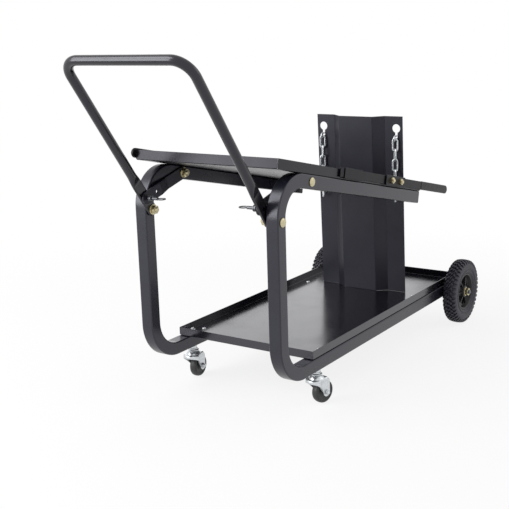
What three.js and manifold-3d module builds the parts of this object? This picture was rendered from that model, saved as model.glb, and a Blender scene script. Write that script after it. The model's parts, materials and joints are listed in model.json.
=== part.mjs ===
// Two-tier welding cart: bent tube side frames, a sloping top tray, a lower tray for the
// gas bottle, a folded back plate with retaining chains, a folding push handle, two large
// rear wheels and two swivel casters. Millimetres, +Z up, X to the right, +Y to the wheels.
import * as THREE from 'three';
import { ConvexGeometry } from 'three/addons/geometries/ConvexGeometry.js';
import { mergeVertices } from 'three/addons/utils/BufferGeometryUtils.js';
import Module from 'manifold-3d';

const wasm = await Module();
wasm.setup();

// Clearances
const fit = 0.3;
const runningGap = 1;

// Side frames of square tube; Y = 0 is the front face of the uprights
const frameWidth = 372;
const tube = 30;
const tubeWall = 2;
const lowerRailLength = 912;
const upperRailLength = 655;
const topCornerHeight = 551;
const railSlope = THREE.MathUtils.degToRad(12.7);
const lowerBendRadius = 77;
const upperBendRadius = 70;
const plugCap = 3;
const plugDepth = 14;

// Trays of folded sheet
const sheet = 1.5;
const lowerTrayFront = 130;
const railOverhang = 11;
const lowerTrayInset = 2.5;
const lowerLip = 20;
const topTrayFront = 8;
const topTrayInset = 3;
const topLip = 22;

// Back plate for the gas bottle
const plateFootY = 708;
const plateLean = THREE.MathUtils.degToRad(2.6);
const plateWidth = 250;
const plateTop = 586;
const plateSheet = 2;
const plateStep = 20;
const plateCentreWidth = 96;
const plateSlopeWidth = 26;
const plateBend = 4;
const footDepth = 28;
const keyholeInset = 18;
const keyholeHeight = 555;
const keyholeRadius = 11;
const keySlotWidth = 7;
const keySlotDrop = 34;

// Chains of welded links
const wire = 4.5;
const linkLength = 36;
const linkWidth = 17;
const tailLinks = 6;
const linkSlack = 0.8;
const firstTurn = THREE.MathUtils.degToRad(15);
const linkTurn = THREE.MathUtils.degToRad(-50);
const linkSides = 5;
const linkSteps = 10;

// Push handle
const gripTube = 20;
const gripWall = 1.5;
const handleReach = 410;
const handleLean = THREE.MathUtils.degToRad(36);
const handleBend = 40;
const tongueThickness = 6;
const tongueWidth = 28;
const tongueLength = 75;
const swageLength = 30;
const pivotY = 17;
const pivotHeight = 441;

// Struts and lock pins that hold the handle
const lockRadius = 36;
const lockPin = 7;
const lockTravel = 6;
const pinShank = 34;
const ringRadius = 9;
const ringWire = 2.5;
const strutWidth = 28;
const strutSheet = 4;
const strutEnd = 14;
const strutSpareHole = 35;
const strutCrankStart = 50;
const strutCrankLength = 30;
const railBoltY = 133;

// Carriage bolts and nuts
const boltRadius = 5;
const boltHead = 10;
const boltDome = 4.5;
const nutAcross = 17;
const nutHeight = 8;
const washerRadius = 12;
const washerSheet = 2;
const boltTail = 4;

// Cable arms clamped along the top tray
const armHeight = 20;
const armSheet = 4;
const armRise = 15;
const armLength = 590;
const armOverhang = 160;
const leftArmFront = -3;
const sleeveLength = 82;
const sleeveSheet = 1.5;
const sleeveFromEnd = 18;
const clampLength = 102;
const clampHeight = 24;
const clampSheet = 3;
const clampFromTip = 268;

// Rear wheels
const wheelRadius = 88;
const axleInset = 24;
const axleRise = 3;
const axleTab = 4;
const axleTabWidth = 36;
const axleTabDrop = 14;
const tyreClearance = 3.5;
const tyreWidth = 37;
const rimRadius = 50;
const rimWidth = 28;
const hubRadius = 16;
const webThickness = 6;
const windowCount = 6;
const windowInset = 3;
const windowRib = 5;
const axleRadius = 6;
const lugRows = 2;
const lugCount = 18;
const lugDepth = 4;
const lugLength = 17;
const lugWidth = 14;
const lugRoot = 4;
const roundSides = 16;
const wheelSides = 32;

// Swivel casters
const casterY = 164;
const casterTurns = { left: THREE.MathUtils.degToRad(6), right: THREE.MathUtils.degToRad(-13) };
const casterRadius = 27;
const casterTread = 20;
const casterTrail = 18;
const casterAxle = 3.5;
const forkSheet = 2.5;
const forkClearance = 8;
const forkHead = 25;
const forkFoot = 10;
const forkSkirt = 8;
const forkDome = 7;
const raceRadius = 16;
const stemRadius = 5;
const stemNut = 17;
const stemRise = 23;

// The rails are level: high enough for the rear axle and for the casters
const forkTop = 2 * casterRadius + forkClearance;
const railHeight = Math.max(wheelRadius - axleRise, forkTop + stemRise);
const railTop = railHeight + tube;
const halfFrame = frameWidth / 2;
const innerFace = halfFrame - tube;
const railCentre = halfFrame - tube / 2;
const wheelY = lowerRailLength - axleInset;
const wheelCentre = halfFrame + tyreClearance + tyreWidth / 2;
const lowerTrayWidth = frameWidth - 2 * lowerTrayInset;
const lowerTrayLength = lowerRailLength - railOverhang - lowerTrayFront;
const topTrayWidth = frameWidth - 2 * topTrayInset;
const sides = [['left', -1], ['right', 1]];

// Finishes
const finish = (color, roughness, metalness) => new THREE.MeshStandardMaterial({
  color, roughness, metalness, flatShading: true,
});
const paint = () => finish(0x242427, 0.42, 0.2);
const zinc = () => finish(0xc9ccd0, 0.3, 0.9);
const yellowZinc = () => finish(0xc8a860, 0.35, 0.85);
const rubber = () => finish(0x1d1d1f, 0.85, 0);
const plastic = () => finish(0x141416, 0.5, 0);

// Closed bodies from three.js shapes, joined and cut
function solid(geometry) {
  const bare = geometry.clone();
  bare.deleteAttribute('normal');
  bare.deleteAttribute('uv');
  const merged = mergeVertices(bare, 1e-4);
  return new wasm.Manifold(new wasm.Mesh({
    numProp: 3,
    vertProperties: new Float32Array(merged.attributes.position.array),
    triVerts: new Uint32Array(merged.index.array),
  }));
}

function join(...geometries) {
  return geometries.map(solid).reduce((whole, body) => whole.add(body));
}

function cut(body, ...geometries) {
  return geometries.map(solid).reduce((rest, tool) => rest.subtract(tool), body);
}

function geometryOf(body) {
  const mesh = body.getMesh();
  const geometry = new THREE.BufferGeometry();
  geometry.setAttribute('position', new THREE.BufferAttribute(mesh.vertProperties, 3));
  geometry.setIndex(new THREE.BufferAttribute(mesh.triVerts, 1));
  return geometry;
}

// Common forms
function block(x0, x1, y0, y1, z0, z1) {
  return new THREE.BoxGeometry(x1 - x0, y1 - y0, z1 - z0)
    .translate((x0 + x1) / 2, (y0 + y1) / 2, (z0 + z1) / 2);
}

function rodX(radius, x0, x1, y, z, steps = roundSides) {
  return new THREE.CylinderGeometry(radius, radius, Math.abs(x1 - x0), steps)
    .rotateZ(Math.PI / 2).translate((x0 + x1) / 2, y, z);
}

function hexX(across, x0, x1, y, z) {
  return rodX(across / Math.sqrt(3), x0, x1, y, z, 6);
}

// A shape drawn in Y and Z, given its thickness along X
const fromSide = new THREE.Matrix4().makeBasis(
  new THREE.Vector3(0, 1, 0), new THREE.Vector3(0, 0, 1), new THREE.Vector3(1, 0, 0));

function slabX(shape, x0, x1, curveSegments = 4) {
  const options = { depth: x1 - x0, bevelEnabled: false, curveSegments };
  return new THREE.ExtrudeGeometry(shape, options).applyMatrix4(fromSide).translate(x0, 0, 0);
}

// The outline of a strip of constant width that follows corners rounded to the given radii
function bentStrip(corners, radii, width) {
  const half = width / 2;
  const left = (d) => new THREE.Vector2(-d.y, d.x);
  const heading = (a, b) => b.clone().sub(a).normalize();
  const arcs = radii.map((radius, i) => {
    const before = heading(corners[i], corners[i + 1]);
    const after = heading(corners[i + 1], corners[i + 2]);
    const turn = Math.sign(before.cross(after));
    const reach = radius * Math.tan(Math.acos(before.dot(after)) / 2);
    const centre = corners[i + 1].clone().addScaledVector(before, -reach)
      .addScaledVector(left(before), turn * radius);
    const start = left(before).multiplyScalar(-turn).angle();
    const end = left(after).multiplyScalar(-turn).angle();
    return { centre, radius, turn, start, end };
  });
  const last = corners.length - 1;
  const first = left(heading(corners[0], corners[1])).multiplyScalar(half);
  const final = left(heading(corners[last - 1], corners[last])).multiplyScalar(half);
  const shape = new THREE.Shape();
  shape.moveTo(corners[0].x - first.x, corners[0].y - first.y);
  shape.lineTo(corners[0].x + first.x, corners[0].y + first.y);
  for (const { centre, radius, turn, start, end } of arcs) {
    shape.absarc(centre.x, centre.y, radius - turn * half, start, end, turn < 0);
  }
  shape.lineTo(corners[last].x + final.x, corners[last].y + final.y);
  shape.lineTo(corners[last].x - final.x, corners[last].y - final.y);
  for (const { centre, radius, turn, start, end } of arcs.reverse()) {
    shape.absarc(centre.x, centre.y, radius + turn * half, end, start, turn > 0);
  }
  shape.closePath();
  return shape;
}

// A strip with round ends along the first axis, between two centres
function stadium(length, radius) {
  const shape = new THREE.Shape();
  shape.absarc(length, 0, radius, -Math.PI / 2, Math.PI / 2, false);
  shape.absarc(0, 0, radius, Math.PI / 2, 1.5 * Math.PI, false);
  shape.closePath();
  return shape;
}

// A turned body about X, from a counter-clockwise outline of radius and axial place
function turnedX(outline, steps) {
  const points = outline.map(([radius, place]) => new THREE.Vector2(radius, place));
  points.push(points[0].clone());
  return new THREE.LatheGeometry(points, steps).rotateZ(-Math.PI / 2);
}

const cart = new THREE.Group();

function add(name, body, material, parent = cart) {
  const geometry = body.isBufferGeometry ? body : geometryOf(body);
  const mesh = new THREE.Mesh(geometry, material);
  mesh.name = name;
  parent.add(mesh);
  return mesh;
}

// Side frames: one square tube each, bent from the lower rail up the front and back along the slope
const upperLineDrop = (y) => y * Math.tan(railSlope);
const upperCentreHeight = (y) => topCornerHeight - upperLineDrop(y) - tube / 2 / Math.cos(railSlope);
const slopeRun = new THREE.Vector2(Math.cos(railSlope), -Math.sin(railSlope));

function frameCorners(extra) {
  const upper = new THREE.Vector2(tube / 2, upperCentreHeight(tube / 2));
  return [
    new THREE.Vector2(lowerRailLength + extra, railHeight + tube / 2),
    new THREE.Vector2(tube / 2, railHeight + tube / 2),
    upper,
    upper.clone().addScaledVector(slopeRun, upperRailLength + extra),
  ];
}

// The axle runs at the underside of the rails, in a plate welded to each inner face
function axleBracket(side) {
  const inner = side * (innerFace - axleTab);
  const outer = side * (innerFace + fit);
  return block(Math.min(inner, outer), Math.max(inner, outer), wheelY - axleTabWidth / 2,
    wheelY + axleTabWidth / 2, wheelRadius - axleTabDrop, railHeight + tube / 2);
}

function sideFrame(side) {
  const bends = [lowerBendRadius, upperBendRadius];
  const outer = bentStrip(frameCorners(0), bends, tube);
  const bore = bentStrip(frameCorners(tube), bends, tube - 2 * tubeWall);
  const holes = [
    rodX(axleRadius + fit, 0, frameWidth * side, wheelY, wheelRadius),
    rodX(boltRadius + fit, 0, frameWidth * side, pivotY, pivotHeight),
    rodX(boltRadius + fit, 0, frameWidth * side, railBoltY, upperCentreHeight(railBoltY)),
    new THREE.CylinderGeometry(stemRadius + fit, stemRadius + fit, 2 * tubeWall + fit, roundSides)
      .rotateX(Math.PI / 2).translate(railCentre * side, casterY, railHeight),
  ];
  const x0 = side * railCentre - tube / 2;
  const hollow = slabX(bore, x0 + tubeWall, x0 + tube - tubeWall);
  const body = cut(solid(slabX(outer, x0, x0 + tube)), hollow);
  return cut(body.add(solid(axleBracket(side))), ...holes);
}

// A push-in end plug, drawn at the end of a tube that runs along +Y
function endPlug() {
  const cap = tube / 2;
  const stem = tube / 2 - tubeWall - fit;
  return join(
    block(-cap, cap, fit, fit + plugCap, -cap, cap),
    block(-stem, stem, -plugDepth, fit + plugCap / 2, -stem, stem));
}

for (const [name, side] of sides) {
  add(`side_frame_${name}`, sideFrame(side), paint());
  const lowerPlug = add(`lower_end_plug_${name}`, endPlug(), plastic());
  lowerPlug.position.set(side * railCentre, lowerRailLength, railHeight + tube / 2);
  const upperEnd = frameCorners(0)[3];
  const upperPlug = add(`upper_end_plug_${name}`, endPlug(), plastic());
  upperPlug.position.set(side * railCentre, upperEnd.x, upperEnd.y);
  upperPlug.rotation.x = -railSlope;
}

// Trays: a floor with four lips folded up
function tray(width, front, length, lip, base) {
  const outer = block(-width / 2, width / 2, front, front + length, base, base + lip);
  const inner = block(-width / 2 + sheet, width / 2 - sheet, front + sheet, front + length - sheet,
    base + sheet, base + 2 * lip);
  return cut(solid(outer), inner);
}

add('lower_tray', tray(lowerTrayWidth, lowerTrayFront, lowerTrayLength, lowerLip, railTop + fit), paint());

// Back plate: hat-shaped fold, hollow to the rear where the bottle leans, standing on the lower tray
const plateFoot = railTop + 2 * fit + sheet;
const plateFaceAt = (z) => plateFootY - (z - plateFoot) * Math.tan(plateLean);
const panelFaceAt = (z) => plateFaceAt(z) - plateStep / Math.cos(plateLean);
const keyholeX = plateWidth / 2 - keyholeInset;

function plateCorners() {
  const flat = plateCentreWidth / 2;
  const fold = flat + plateSlopeWidth;
  const half = [[flat, -plateStep], [fold, 0], [plateWidth / 2, 0]];
  const mirror = half.map(([x, y]) => [-x, y]).reverse();
  return [...mirror, ...half].map(([x, y]) => new THREE.Vector2(x, y + plateSheet / 2));
}

function keyhole(x) {
  const shape = new THREE.Shape();
  const neck = Math.asin(keySlotWidth / 2 / keyholeRadius);
  shape.absarc(0, 0, keyholeRadius, -Math.PI / 2 + neck, 1.5 * Math.PI - neck, false);
  shape.lineTo(-keySlotWidth / 2, -keySlotDrop);
  shape.lineTo(keySlotWidth / 2, -keySlotDrop);
  shape.closePath();
  const through = 10 * plateSheet;
  return new THREE.ExtrudeGeometry(shape, { depth: through, bevelEnabled: false, curveSegments: 8 })
    .rotateX(Math.PI / 2).translate(x, plateFaceAt(keyholeHeight) + through / 2, keyholeHeight);
}

function backPlate() {
  const outline = bentStrip(plateCorners(), [plateBend, plateBend, plateBend, plateBend], plateSheet);
  const height = (plateTop - plateFoot) / Math.cos(plateLean);
  const wall = new THREE.ExtrudeGeometry(outline, {
    depth: height + plateStep, bevelEnabled: false, curveSegments: 2,
  }).translate(0, 0, -plateStep).rotateX(plateLean).translate(0, plateFootY, plateFoot);
  const below = block(-plateWidth, plateWidth, 0, 2 * plateFootY, 0, plateFoot);
  const footHalf = plateCentreWidth / 2 - plateBend;
  const footFront = panelFaceAt(plateFoot) + plateSheet / 2;
  const foot = block(-footHalf, footHalf, footFront, footFront + footDepth, plateFoot, plateFoot + plateSheet);
  return cut(solid(wall).add(solid(foot)), below, keyhole(-keyholeX), keyhole(keyholeX));
}

add('back_plate', backPlate(), paint());

// The top tray lies on the sloping rails and ends against the back plate's centre panel
const slope = new THREE.Group();
slope.position.z = topCornerHeight;
slope.rotation.x = -railSlope;
cart.add(slope);
const lipTop = topLip + fit;
const lipTopAtFront = topCornerHeight + lipTop * Math.cos(railSlope);
const topTrayRear = (panelFaceAt(lipTopAtFront) - fit - lipTop * Math.sin(railSlope))
  / (Math.cos(railSlope) - Math.tan(plateLean) * Math.sin(railSlope));
const topTrayStart = topTrayFront / Math.cos(railSlope);
add('top_tray', tray(topTrayWidth, topTrayStart, topTrayRear - topTrayStart, topLip, fit), paint(), slope);

// Chains: each hangs through its keyhole on an edge-on anchor link, with a stop link behind
const linkRing = linkWidth / 2 - wire / 2;
const linkStretch = linkLength / 2 - linkWidth / 2;
const linkDrop = linkLength - 2 * wire - fit;

// An upright link in the X-Z plane: a ring pulled apart along Z
function chainLink() {
  const ring = new THREE.TorusGeometry(linkRing, wire / 2, linkSides, linkSteps)
    .rotateZ(Math.PI / linkSteps).rotateX(Math.PI / 2);
  const place = ring.attributes.position;
  for (let i = 0; i < place.count; i += 1) {
    place.setZ(i, place.getZ(i) + Math.sign(place.getZ(i)) * linkStretch);
  }
  return solid(ring);
}

const intoDepth = fromSide.clone().invert();
const tailGap = linkRing * Math.abs(Math.sin(linkTurn)) + wire / 2 + fit;
const slotBottom = keyholeHeight - keySlotDrop;
const anchorHeight = slotBottom + fit + linkWidth / 2;
const hangHeight = slotBottom + fit + 2 * wire + linkSlack - linkLength / 2;

for (const [name, side] of sides) {
  const x = side * keyholeX;
  const frontHang = plateFaceAt(slotBottom) - tailGap;
  const rearHang = plateFaceAt(slotBottom - linkLength) + plateSheet + tailGap;
  const anchor = add(`chain_anchor_${name}`, chainLink(), zinc());
  anchor.applyMatrix4(intoDepth);
  anchor.position.set(x, (frontHang + rearHang) / 2, anchorHeight);
  const stop = add(`chain_stop_${name}`, chainLink(), zinc());
  stop.position.set(x, rearHang, hangHeight - linkSlack + fit);
  for (let i = 0; i < tailLinks; i += 1) {
    const link = add(`chain_link_${name}_${i + 1}`, chainLink(), zinc());
    link.position.set(x, frontHang, hangHeight - i * linkDrop + (i > 0 ? linkSlack : 0));
    link.rotation.z = i > 0 ? linkTurn + (1 - i % 2) * Math.PI / 2 : firstTurn;
  }
}

// Folding handle: a bent tube whose legs are pressed flat where they are bolted to the uprights
const legCentre = innerFace - fit - tongueThickness / 2;
const lockHole = lockPin / 2 + fit;

// A closed skin over rings of points, each ring as long as the last
function loft(rings) {
  const count = rings[0].length;
  const points = rings.flat();
  const faces = [];
  for (let r = 0; r + 1 < rings.length; r += 1) {
    for (let i = 0; i < count; i += 1) {
      const a = r * count + i;
      const b = r * count + (i + 1) % count;
      faces.push(a, b + count, b, a, a + count, b + count);
    }
  }
  const last = (rings.length - 1) * count;
  for (let i = 1; i + 1 < count; i += 1) {
    faces.push(0, i, i + 1, last, last + i + 1, last + i);
  }
  return new THREE.BufferGeometry().setFromPoints(points).setIndex(faces);
}

// Round in the grip, pressed flat in the tongues: the half sizes across X and along Y
function handleRing(station, halfThick, halfWide) {
  const steps = 12;
  return Array.from({ length: steps }, (_, i) => {
    const turn = 2 * Math.PI * (i + 0.5) / steps;
    const flat = THREE.MathUtils.lerp(Math.sign(Math.cos(turn)), Math.cos(turn), station.round);
    const across = flat * halfThick;
    const along = Math.sin(turn) * halfWide / THREE.MathUtils.lerp(Math.cos(Math.PI / steps), 1, station.round);
    return new THREE.Vector3(
      station.x + across * station.out.x, along, station.z + across * station.out.y);
  });
}

// Stations from the left tongue up, round the two bends and down to the right tongue
function handleStations(spare) {
  const bendSteps = 7;
  const low = handleReach - handleBend;
  const near = legCentre - handleBend;
  const leg = [
    { z: -tongueWidth - spare, round: 0 }, { z: tongueLength, round: 0 },
    { z: tongueLength + swageLength / 2, round: 0.5 }, { z: tongueLength + swageLength, round: 1 },
  ].map((station) => ({ ...station, x: -legCentre, out: new THREE.Vector2(-1, 0) }));
  const bend = Array.from({ length: bendSteps + 1 }, (_, i) => {
    const turn = Math.PI / 2 * i / bendSteps;
    const out = new THREE.Vector2(-Math.cos(turn), Math.sin(turn));
    return { x: -near + handleBend * out.x, z: low + handleBend * out.y, round: 1, out };
  });
  const half = [...leg, ...bend];
  const mirror = half.map((station) => ({
    ...station, x: -station.x, out: new THREE.Vector2(-station.out.x, station.out.y),
  })).reverse();
  return [...half, ...mirror];
}

function handleSkin(inset, spare) {
  return loft(handleStations(spare).map((station) => {
    const thick = THREE.MathUtils.lerp(tongueThickness, gripTube, station.round) / 2 - inset;
    const wide = THREE.MathUtils.lerp(tongueWidth, gripTube, station.round) / 2 - inset;
    return handleRing(station, thick, wide);
  }));
}

// The tongues are cut round at the bolt, and their pressed seam stays open
function handleBody() {
  const whole = solid(handleSkin(0, 0)).subtract(solid(handleSkin(gripWall, fit)));
  const outline = new THREE.Shape();
  outline.absarc(0, 0, tongueWidth / 2, Math.PI, 2 * Math.PI, false);
  outline.lineTo(tongueWidth, tongueWidth);
  outline.lineTo(tongueWidth, 2 * handleReach);
  outline.lineTo(-tongueWidth, 2 * handleReach);
  outline.lineTo(-tongueWidth, tongueWidth);
  outline.closePath();
  const kept = whole.intersect(solid(slabX(outline, -frameWidth, frameWidth)));
  const reach = 2 * tongueThickness;
  const holes = sides.flatMap(([, side]) => [[boltRadius + fit, 0], [lockHole, lockRadius]].map(
    ([radius, z]) => rodX(radius, side * legCentre - reach, side * legCentre + reach, 0, z)));
  return cut(kept, ...holes);
}

const handleGroup = new THREE.Group();
handleGroup.position.set(0, pivotY, pivotHeight);
handleGroup.rotation.x = handleLean;
cart.add(handleGroup);
add('handle', handleBody(), paint(), handleGroup);

// Struts: cranked flat bars from the sloping rail to the lock pin of each handle leg
const lockY = pivotY - lockRadius * Math.sin(handleLean);
const lockHeight = pivotHeight + lockRadius * Math.cos(handleLean);
const railBoltHeight = upperCentreHeight(railBoltY);
const strutReach = Math.hypot(railBoltY - lockY, railBoltHeight - lockHeight);
const strutRise = Math.atan2(railBoltHeight - lockHeight, railBoltY - lockY);
const strutInner = legCentre - tongueThickness / 2 - fit - strutSheet / 2;
const strutOuter = innerFace - fit - strutSheet / 2;

// The strut is drawn along +Y from the lock pin, and cranks out to lie against the rail
function strut(side) {
  const place = (y, x) => new THREE.Vector2(x * side, y);
  const line = [
    place(-2 * strutEnd, strutInner), place(strutCrankStart, strutInner),
    place(strutCrankStart + strutCrankLength, strutOuter), place(strutReach + 2 * strutEnd, strutOuter),
  ];
  const plan = bentStrip(line, [strutSheet, strutSheet], strutSheet);
  const bar = new THREE.ExtrudeGeometry(plan, { depth: strutWidth, bevelEnabled: false, curveSegments: 2 })
    .translate(0, 0, -strutWidth / 2);
  const outline = slabX(stadium(strutReach, strutEnd), -halfFrame, halfFrame);
  return cut(solid(bar).intersect(solid(outline)),
    rodX(lockHole, 0, halfFrame * side, 0, 0),
    rodX(lockHole, 0, halfFrame * side, strutSpareHole, 0),
    rodX(boltRadius + fit, 0, halfFrame * side, strutReach, 0));
}

// Carriage bolt from the outer face of the tube, with a washered nut inside the cart
function carriageBolt(side, y, z, inner) {
  const out = side * (halfFrame + fit);
  const dome = new THREE.SphereGeometry(boltHead, roundSides, 3, 0, 2 * Math.PI, 0, Math.PI / 2);
  const head = new ConvexGeometry(pointsOf(dome)).scale(1, boltDome / boltHead, 1)
    .rotateZ(-side * Math.PI / 2).translate(out, y, z);
  return join(head, rodX(boltRadius, out + side * fit, side * inner, y, z));
}

function pointsOf(geometry) {
  const place = geometry.attributes.position;
  return Array.from({ length: place.count }, (_, i) => new THREE.Vector3().fromBufferAttribute(place, i));
}

function washeredNut(side, y, z, seat, bore, across) {
  const face = side * (seat - fit);
  const back = face - side * washerSheet;
  return cut(
    join(rodX(washerRadius, face, back, y, z), hexX(across, back + side * fit, back - side * nutHeight, y, z)),
    rodX(bore + fit, face + side * 2 * nutHeight, face - side * 4 * nutHeight, y, z));
}

for (const [name, side] of sides) {
  const bar = add(`strut_${name}`, strut(side), paint());
  bar.position.set(0, lockY, lockHeight);
  bar.rotation.x = strutRise;
  const pivotSeat = legCentre - tongueThickness / 2;
  const railSeat = strutOuter - strutSheet / 2;
  const stack = fit + washerSheet + nutHeight + boltTail;
  const pivotPlace = [pivotY, pivotHeight];
  const railPlace = [railBoltY, railBoltHeight];
  add(`pivot_bolt_${name}`, carriageBolt(side, ...pivotPlace, pivotSeat - stack), yellowZinc());
  add(`pivot_nut_${name}`, washeredNut(side, ...pivotPlace, pivotSeat, boltRadius, nutAcross), yellowZinc());
  add(`rail_bolt_${name}`, carriageBolt(side, ...railPlace, railSeat - stack), yellowZinc());
  add(`rail_nut_${name}`, washeredNut(side, ...railPlace, railSeat, boltRadius, nutAcross), yellowZinc());
}

// Lock pins: pulled back until the tip is flush with the strut, so the handle is free to fold
function pullPin(side) {
  const tip = side * (strutInner + strutSheet / 2);
  const collar = side * (strutInner - strutSheet / 2 - lockTravel - fit);
  const end = tip - side * pinShank;
  const ring = new THREE.TorusGeometry(ringRadius, ringWire / 2, 5, 14)
    .rotateX(Math.PI / 2).translate(end - side * (ringRadius - ringWire / 4), lockY, lockHeight);
  return join(
    rodX(lockPin / 2, tip, end, lockY, lockHeight),
    rodX(lockPin, collar, collar - side * lockPin, lockY, lockHeight),
    ring);
}

for (const [name, side] of sides) {
  add(`lock_pin_${name}`, pullPin(side), zinc());
}

// Cable arms: flat bars with round tips along the outside of the top tray, drawn with the tip at +Y
const armInner = topTrayWidth / 2 + fit;
const rightArmTip = topTrayRear + armOverhang;
const leftArmTip = leftArmFront / Math.cos(railSlope);

function cableArm() {
  const radius = armHeight / 2;
  const shape = new THREE.Shape();
  shape.moveTo(-armLength, -radius);
  shape.lineTo(-radius, -radius);
  shape.absarc(-radius, 0, radius, -Math.PI / 2, Math.PI / 2, false);
  shape.lineTo(-armLength, radius);
  shape.closePath();
  return slabX(shape, 0, armSheet);
}

// A flat channel on the tray's lip that the arm's inner end lies in, open at both ends
function armSleeve() {
  const y0 = -armLength + sleeveFromEnd;
  const half = armHeight / 2 + fit;
  const deep = armSheet + fit;
  const outer = block(0, deep + sleeveSheet, y0, y0 + sleeveLength, -half - sleeveSheet, half + sleeveSheet);
  const channel = block(-sleeveSheet, deep, y0 - sleeveSheet, y0 + sleeveLength + sleeveSheet, -half, half);
  return cut(solid(outer), channel);
}

function clampPlate() {
  const rear = -clampFromTip;
  return block(0, clampSheet, rear - clampLength, rear, -clampHeight / 2, clampHeight / 2);
}

for (const [name, side] of sides) {
  const armGroup = new THREE.Group();
  armGroup.position.set(side * armInner, side > 0 ? rightArmTip : leftArmTip, armRise);
  armGroup.rotation.z = side > 0 ? 0 : Math.PI;
  slope.add(armGroup);
  add(`cable_arm_${name}`, cableArm(), paint(), armGroup);
  add(`arm_sleeve_${name}`, armSleeve(), paint(), armGroup);
  const clamp = add(`arm_clamp_${name}`, clampPlate(), paint(), armGroup);
  clamp.position.x = armSheet + fit;
}

// Rear axle, wheels and hub nuts
const hubOuter = wheelCentre + rimWidth / 2;
const axleHalf = hubOuter + washerSheet + nutHeight + boltTail;
add('axle', rodX(axleRadius, -axleHalf, axleHalf, wheelY, wheelRadius), zinc());

// One opening between two spokes, with its outer and inner edges round the axle
function rimWindow(barrel) {
  const outer = barrel - windowInset;
  const inner = hubRadius + windowInset;
  const share = Math.PI / windowCount;
  const outerHalf = share - Math.asin(windowRib / 2 / outer);
  const innerHalf = share - Math.asin(windowRib / 2 / inner);
  const shape = new THREE.Shape();
  shape.absarc(0, 0, outer, -outerHalf, outerHalf, false);
  shape.absarc(0, 0, inner, innerHalf, -innerHalf, true);
  shape.closePath();
  return shape;
}

function rim() {
  const bore = axleRadius + fit;
  const inner = -(wheelCentre - halfFrame - runningGap);
  const half = rimWidth / 2;
  const web = webThickness / 2;
  const barrel = rimRadius - webThickness;
  const outline = [
    [bore, inner], [hubRadius, inner], [hubRadius, -web], [barrel, -web], [barrel, -half],
    [rimRadius - fit, -half], [rimRadius - fit, half], [barrel, half], [barrel, web],
    [hubRadius, web], [hubRadius, half], [bore, half],
  ];
  const windows = Array.from({ length: windowCount }, (_, i) => (
    slabX(rimWindow(barrel), -rimWidth, rimWidth, 2).rotateX(2 * Math.PI * i / windowCount)));
  return cut(solid(turnedX(outline, wheelSides)), ...windows);
}

function tyre() {
  const half = tyreWidth / 2;
  const bead = rimWidth / 2;
  const tread = wheelRadius - lugDepth;
  const carcass = turnedX([
    [rimRadius, -bead], [rimRadius + 5, -half + 2], [rimRadius + 14, -half], [tread - 6, -half + 1],
    [tread, -half + 7], [tread, half - 7], [tread - 6, half - 1], [rimRadius + 14, half],
    [rimRadius + 5, half - 2], [rimRadius, bead],
  ], wheelSides);
  const lugTop = Math.sqrt(wheelRadius ** 2 - (lugLength / 2) ** 2);
  const lugs = [];
  for (let row = 0; row < lugRows; row += 1) {
    const outward = row * 2 - 1;
    const x = outward * (half - lugWidth / 2 - 2);
    for (let i = 0; i < lugCount; i += 1) {
      const turn = 2 * Math.PI * (i + row / 2) / lugCount;
      const lug = block(-lugWidth / 2, lugWidth / 2, -lugLength / 2, lugLength / 2,
        -lugTop, -tread + lugRoot);
      lugs.push(lug.translate(x, 0, 0).rotateX(turn));
    }
  }
  return join(carcass, ...lugs);
}

for (const [name, side] of sides) {
  const wheel = new THREE.Group();
  wheel.position.set(side * wheelCentre, wheelY, wheelRadius);
  wheel.rotation.z = side > 0 ? 0 : Math.PI;
  cart.add(wheel);
  add(`tyre_${name}`, tyre(), rubber(), wheel);
  add(`rim_${name}`, rim(), plastic(), wheel);
  const seat = -hubOuter;
  add(`axle_nut_${name}`, washeredNut(-side, wheelY, wheelRadius, seat, axleRadius, nutAcross + 2), yellowZinc());
}

// Swivel casters: a stem bolted up through the lower rail, a pressed fork, a wheel and its axle
const forkLeg = casterTread / 2 + runningGap + fit;
const forkUnder = forkTop - forkSheet - runningGap;

function casterStem() {
  const race = forkTop + forkDome + 3.5;
  const bearing = [
    [0, forkUnder - 6], [7, forkUnder - 5], [8, forkUnder - fit], [stemRadius, forkUnder - fit],
    [stemRadius, race - 2], [raceRadius - 4, race - 2], [raceRadius - 4, race], [stemRadius, race],
    [stemRadius, railTop - 2 * tubeWall - runningGap], [0, railTop - 2 * tubeWall - runningGap],
  ].map(([radius, z]) => new THREE.Vector2(radius, z));
  const turned = new THREE.LatheGeometry(bearing, roundSides).rotateX(Math.PI / 2);
  const nut = new THREE.CylinderGeometry(stemNut / Math.sqrt(3), stemNut / Math.sqrt(3),
    railHeight - fit - race + 1, 6).rotateX(Math.PI / 2).translate(0, 0, (railHeight - fit + race - 1) / 2);
  return join(turned, nut);
}

function rodZ(radius, z0, z1, top = radius) {
  return new THREE.CylinderGeometry(top, radius, z1 - z0, roundSides + 8)
    .rotateX(Math.PI / 2).translate(0, 0, (z0 + z1) / 2);
}

// A fork leg seen from its side: the front edge sweeps up from the round foot to the head's skirt
function forkSide() {
  const shape = new THREE.Shape();
  const rear = casterTrail + forkFoot;
  const front = -forkHead / 2;
  const edge = forkTop - forkSkirt;
  shape.moveTo(front, edge);
  shape.lineTo(front, forkUnder + fit);
  shape.lineTo(rear - 5, forkUnder + fit);
  shape.lineTo(rear, forkUnder - 5);
  shape.lineTo(rear, casterRadius);
  shape.absarc(casterTrail, casterRadius, forkFoot, 0, -Math.PI, true);
  shape.quadraticCurveTo(casterTrail - forkFoot - 5, (edge + casterRadius) / 2, front, edge);
  return shape;
}

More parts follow.
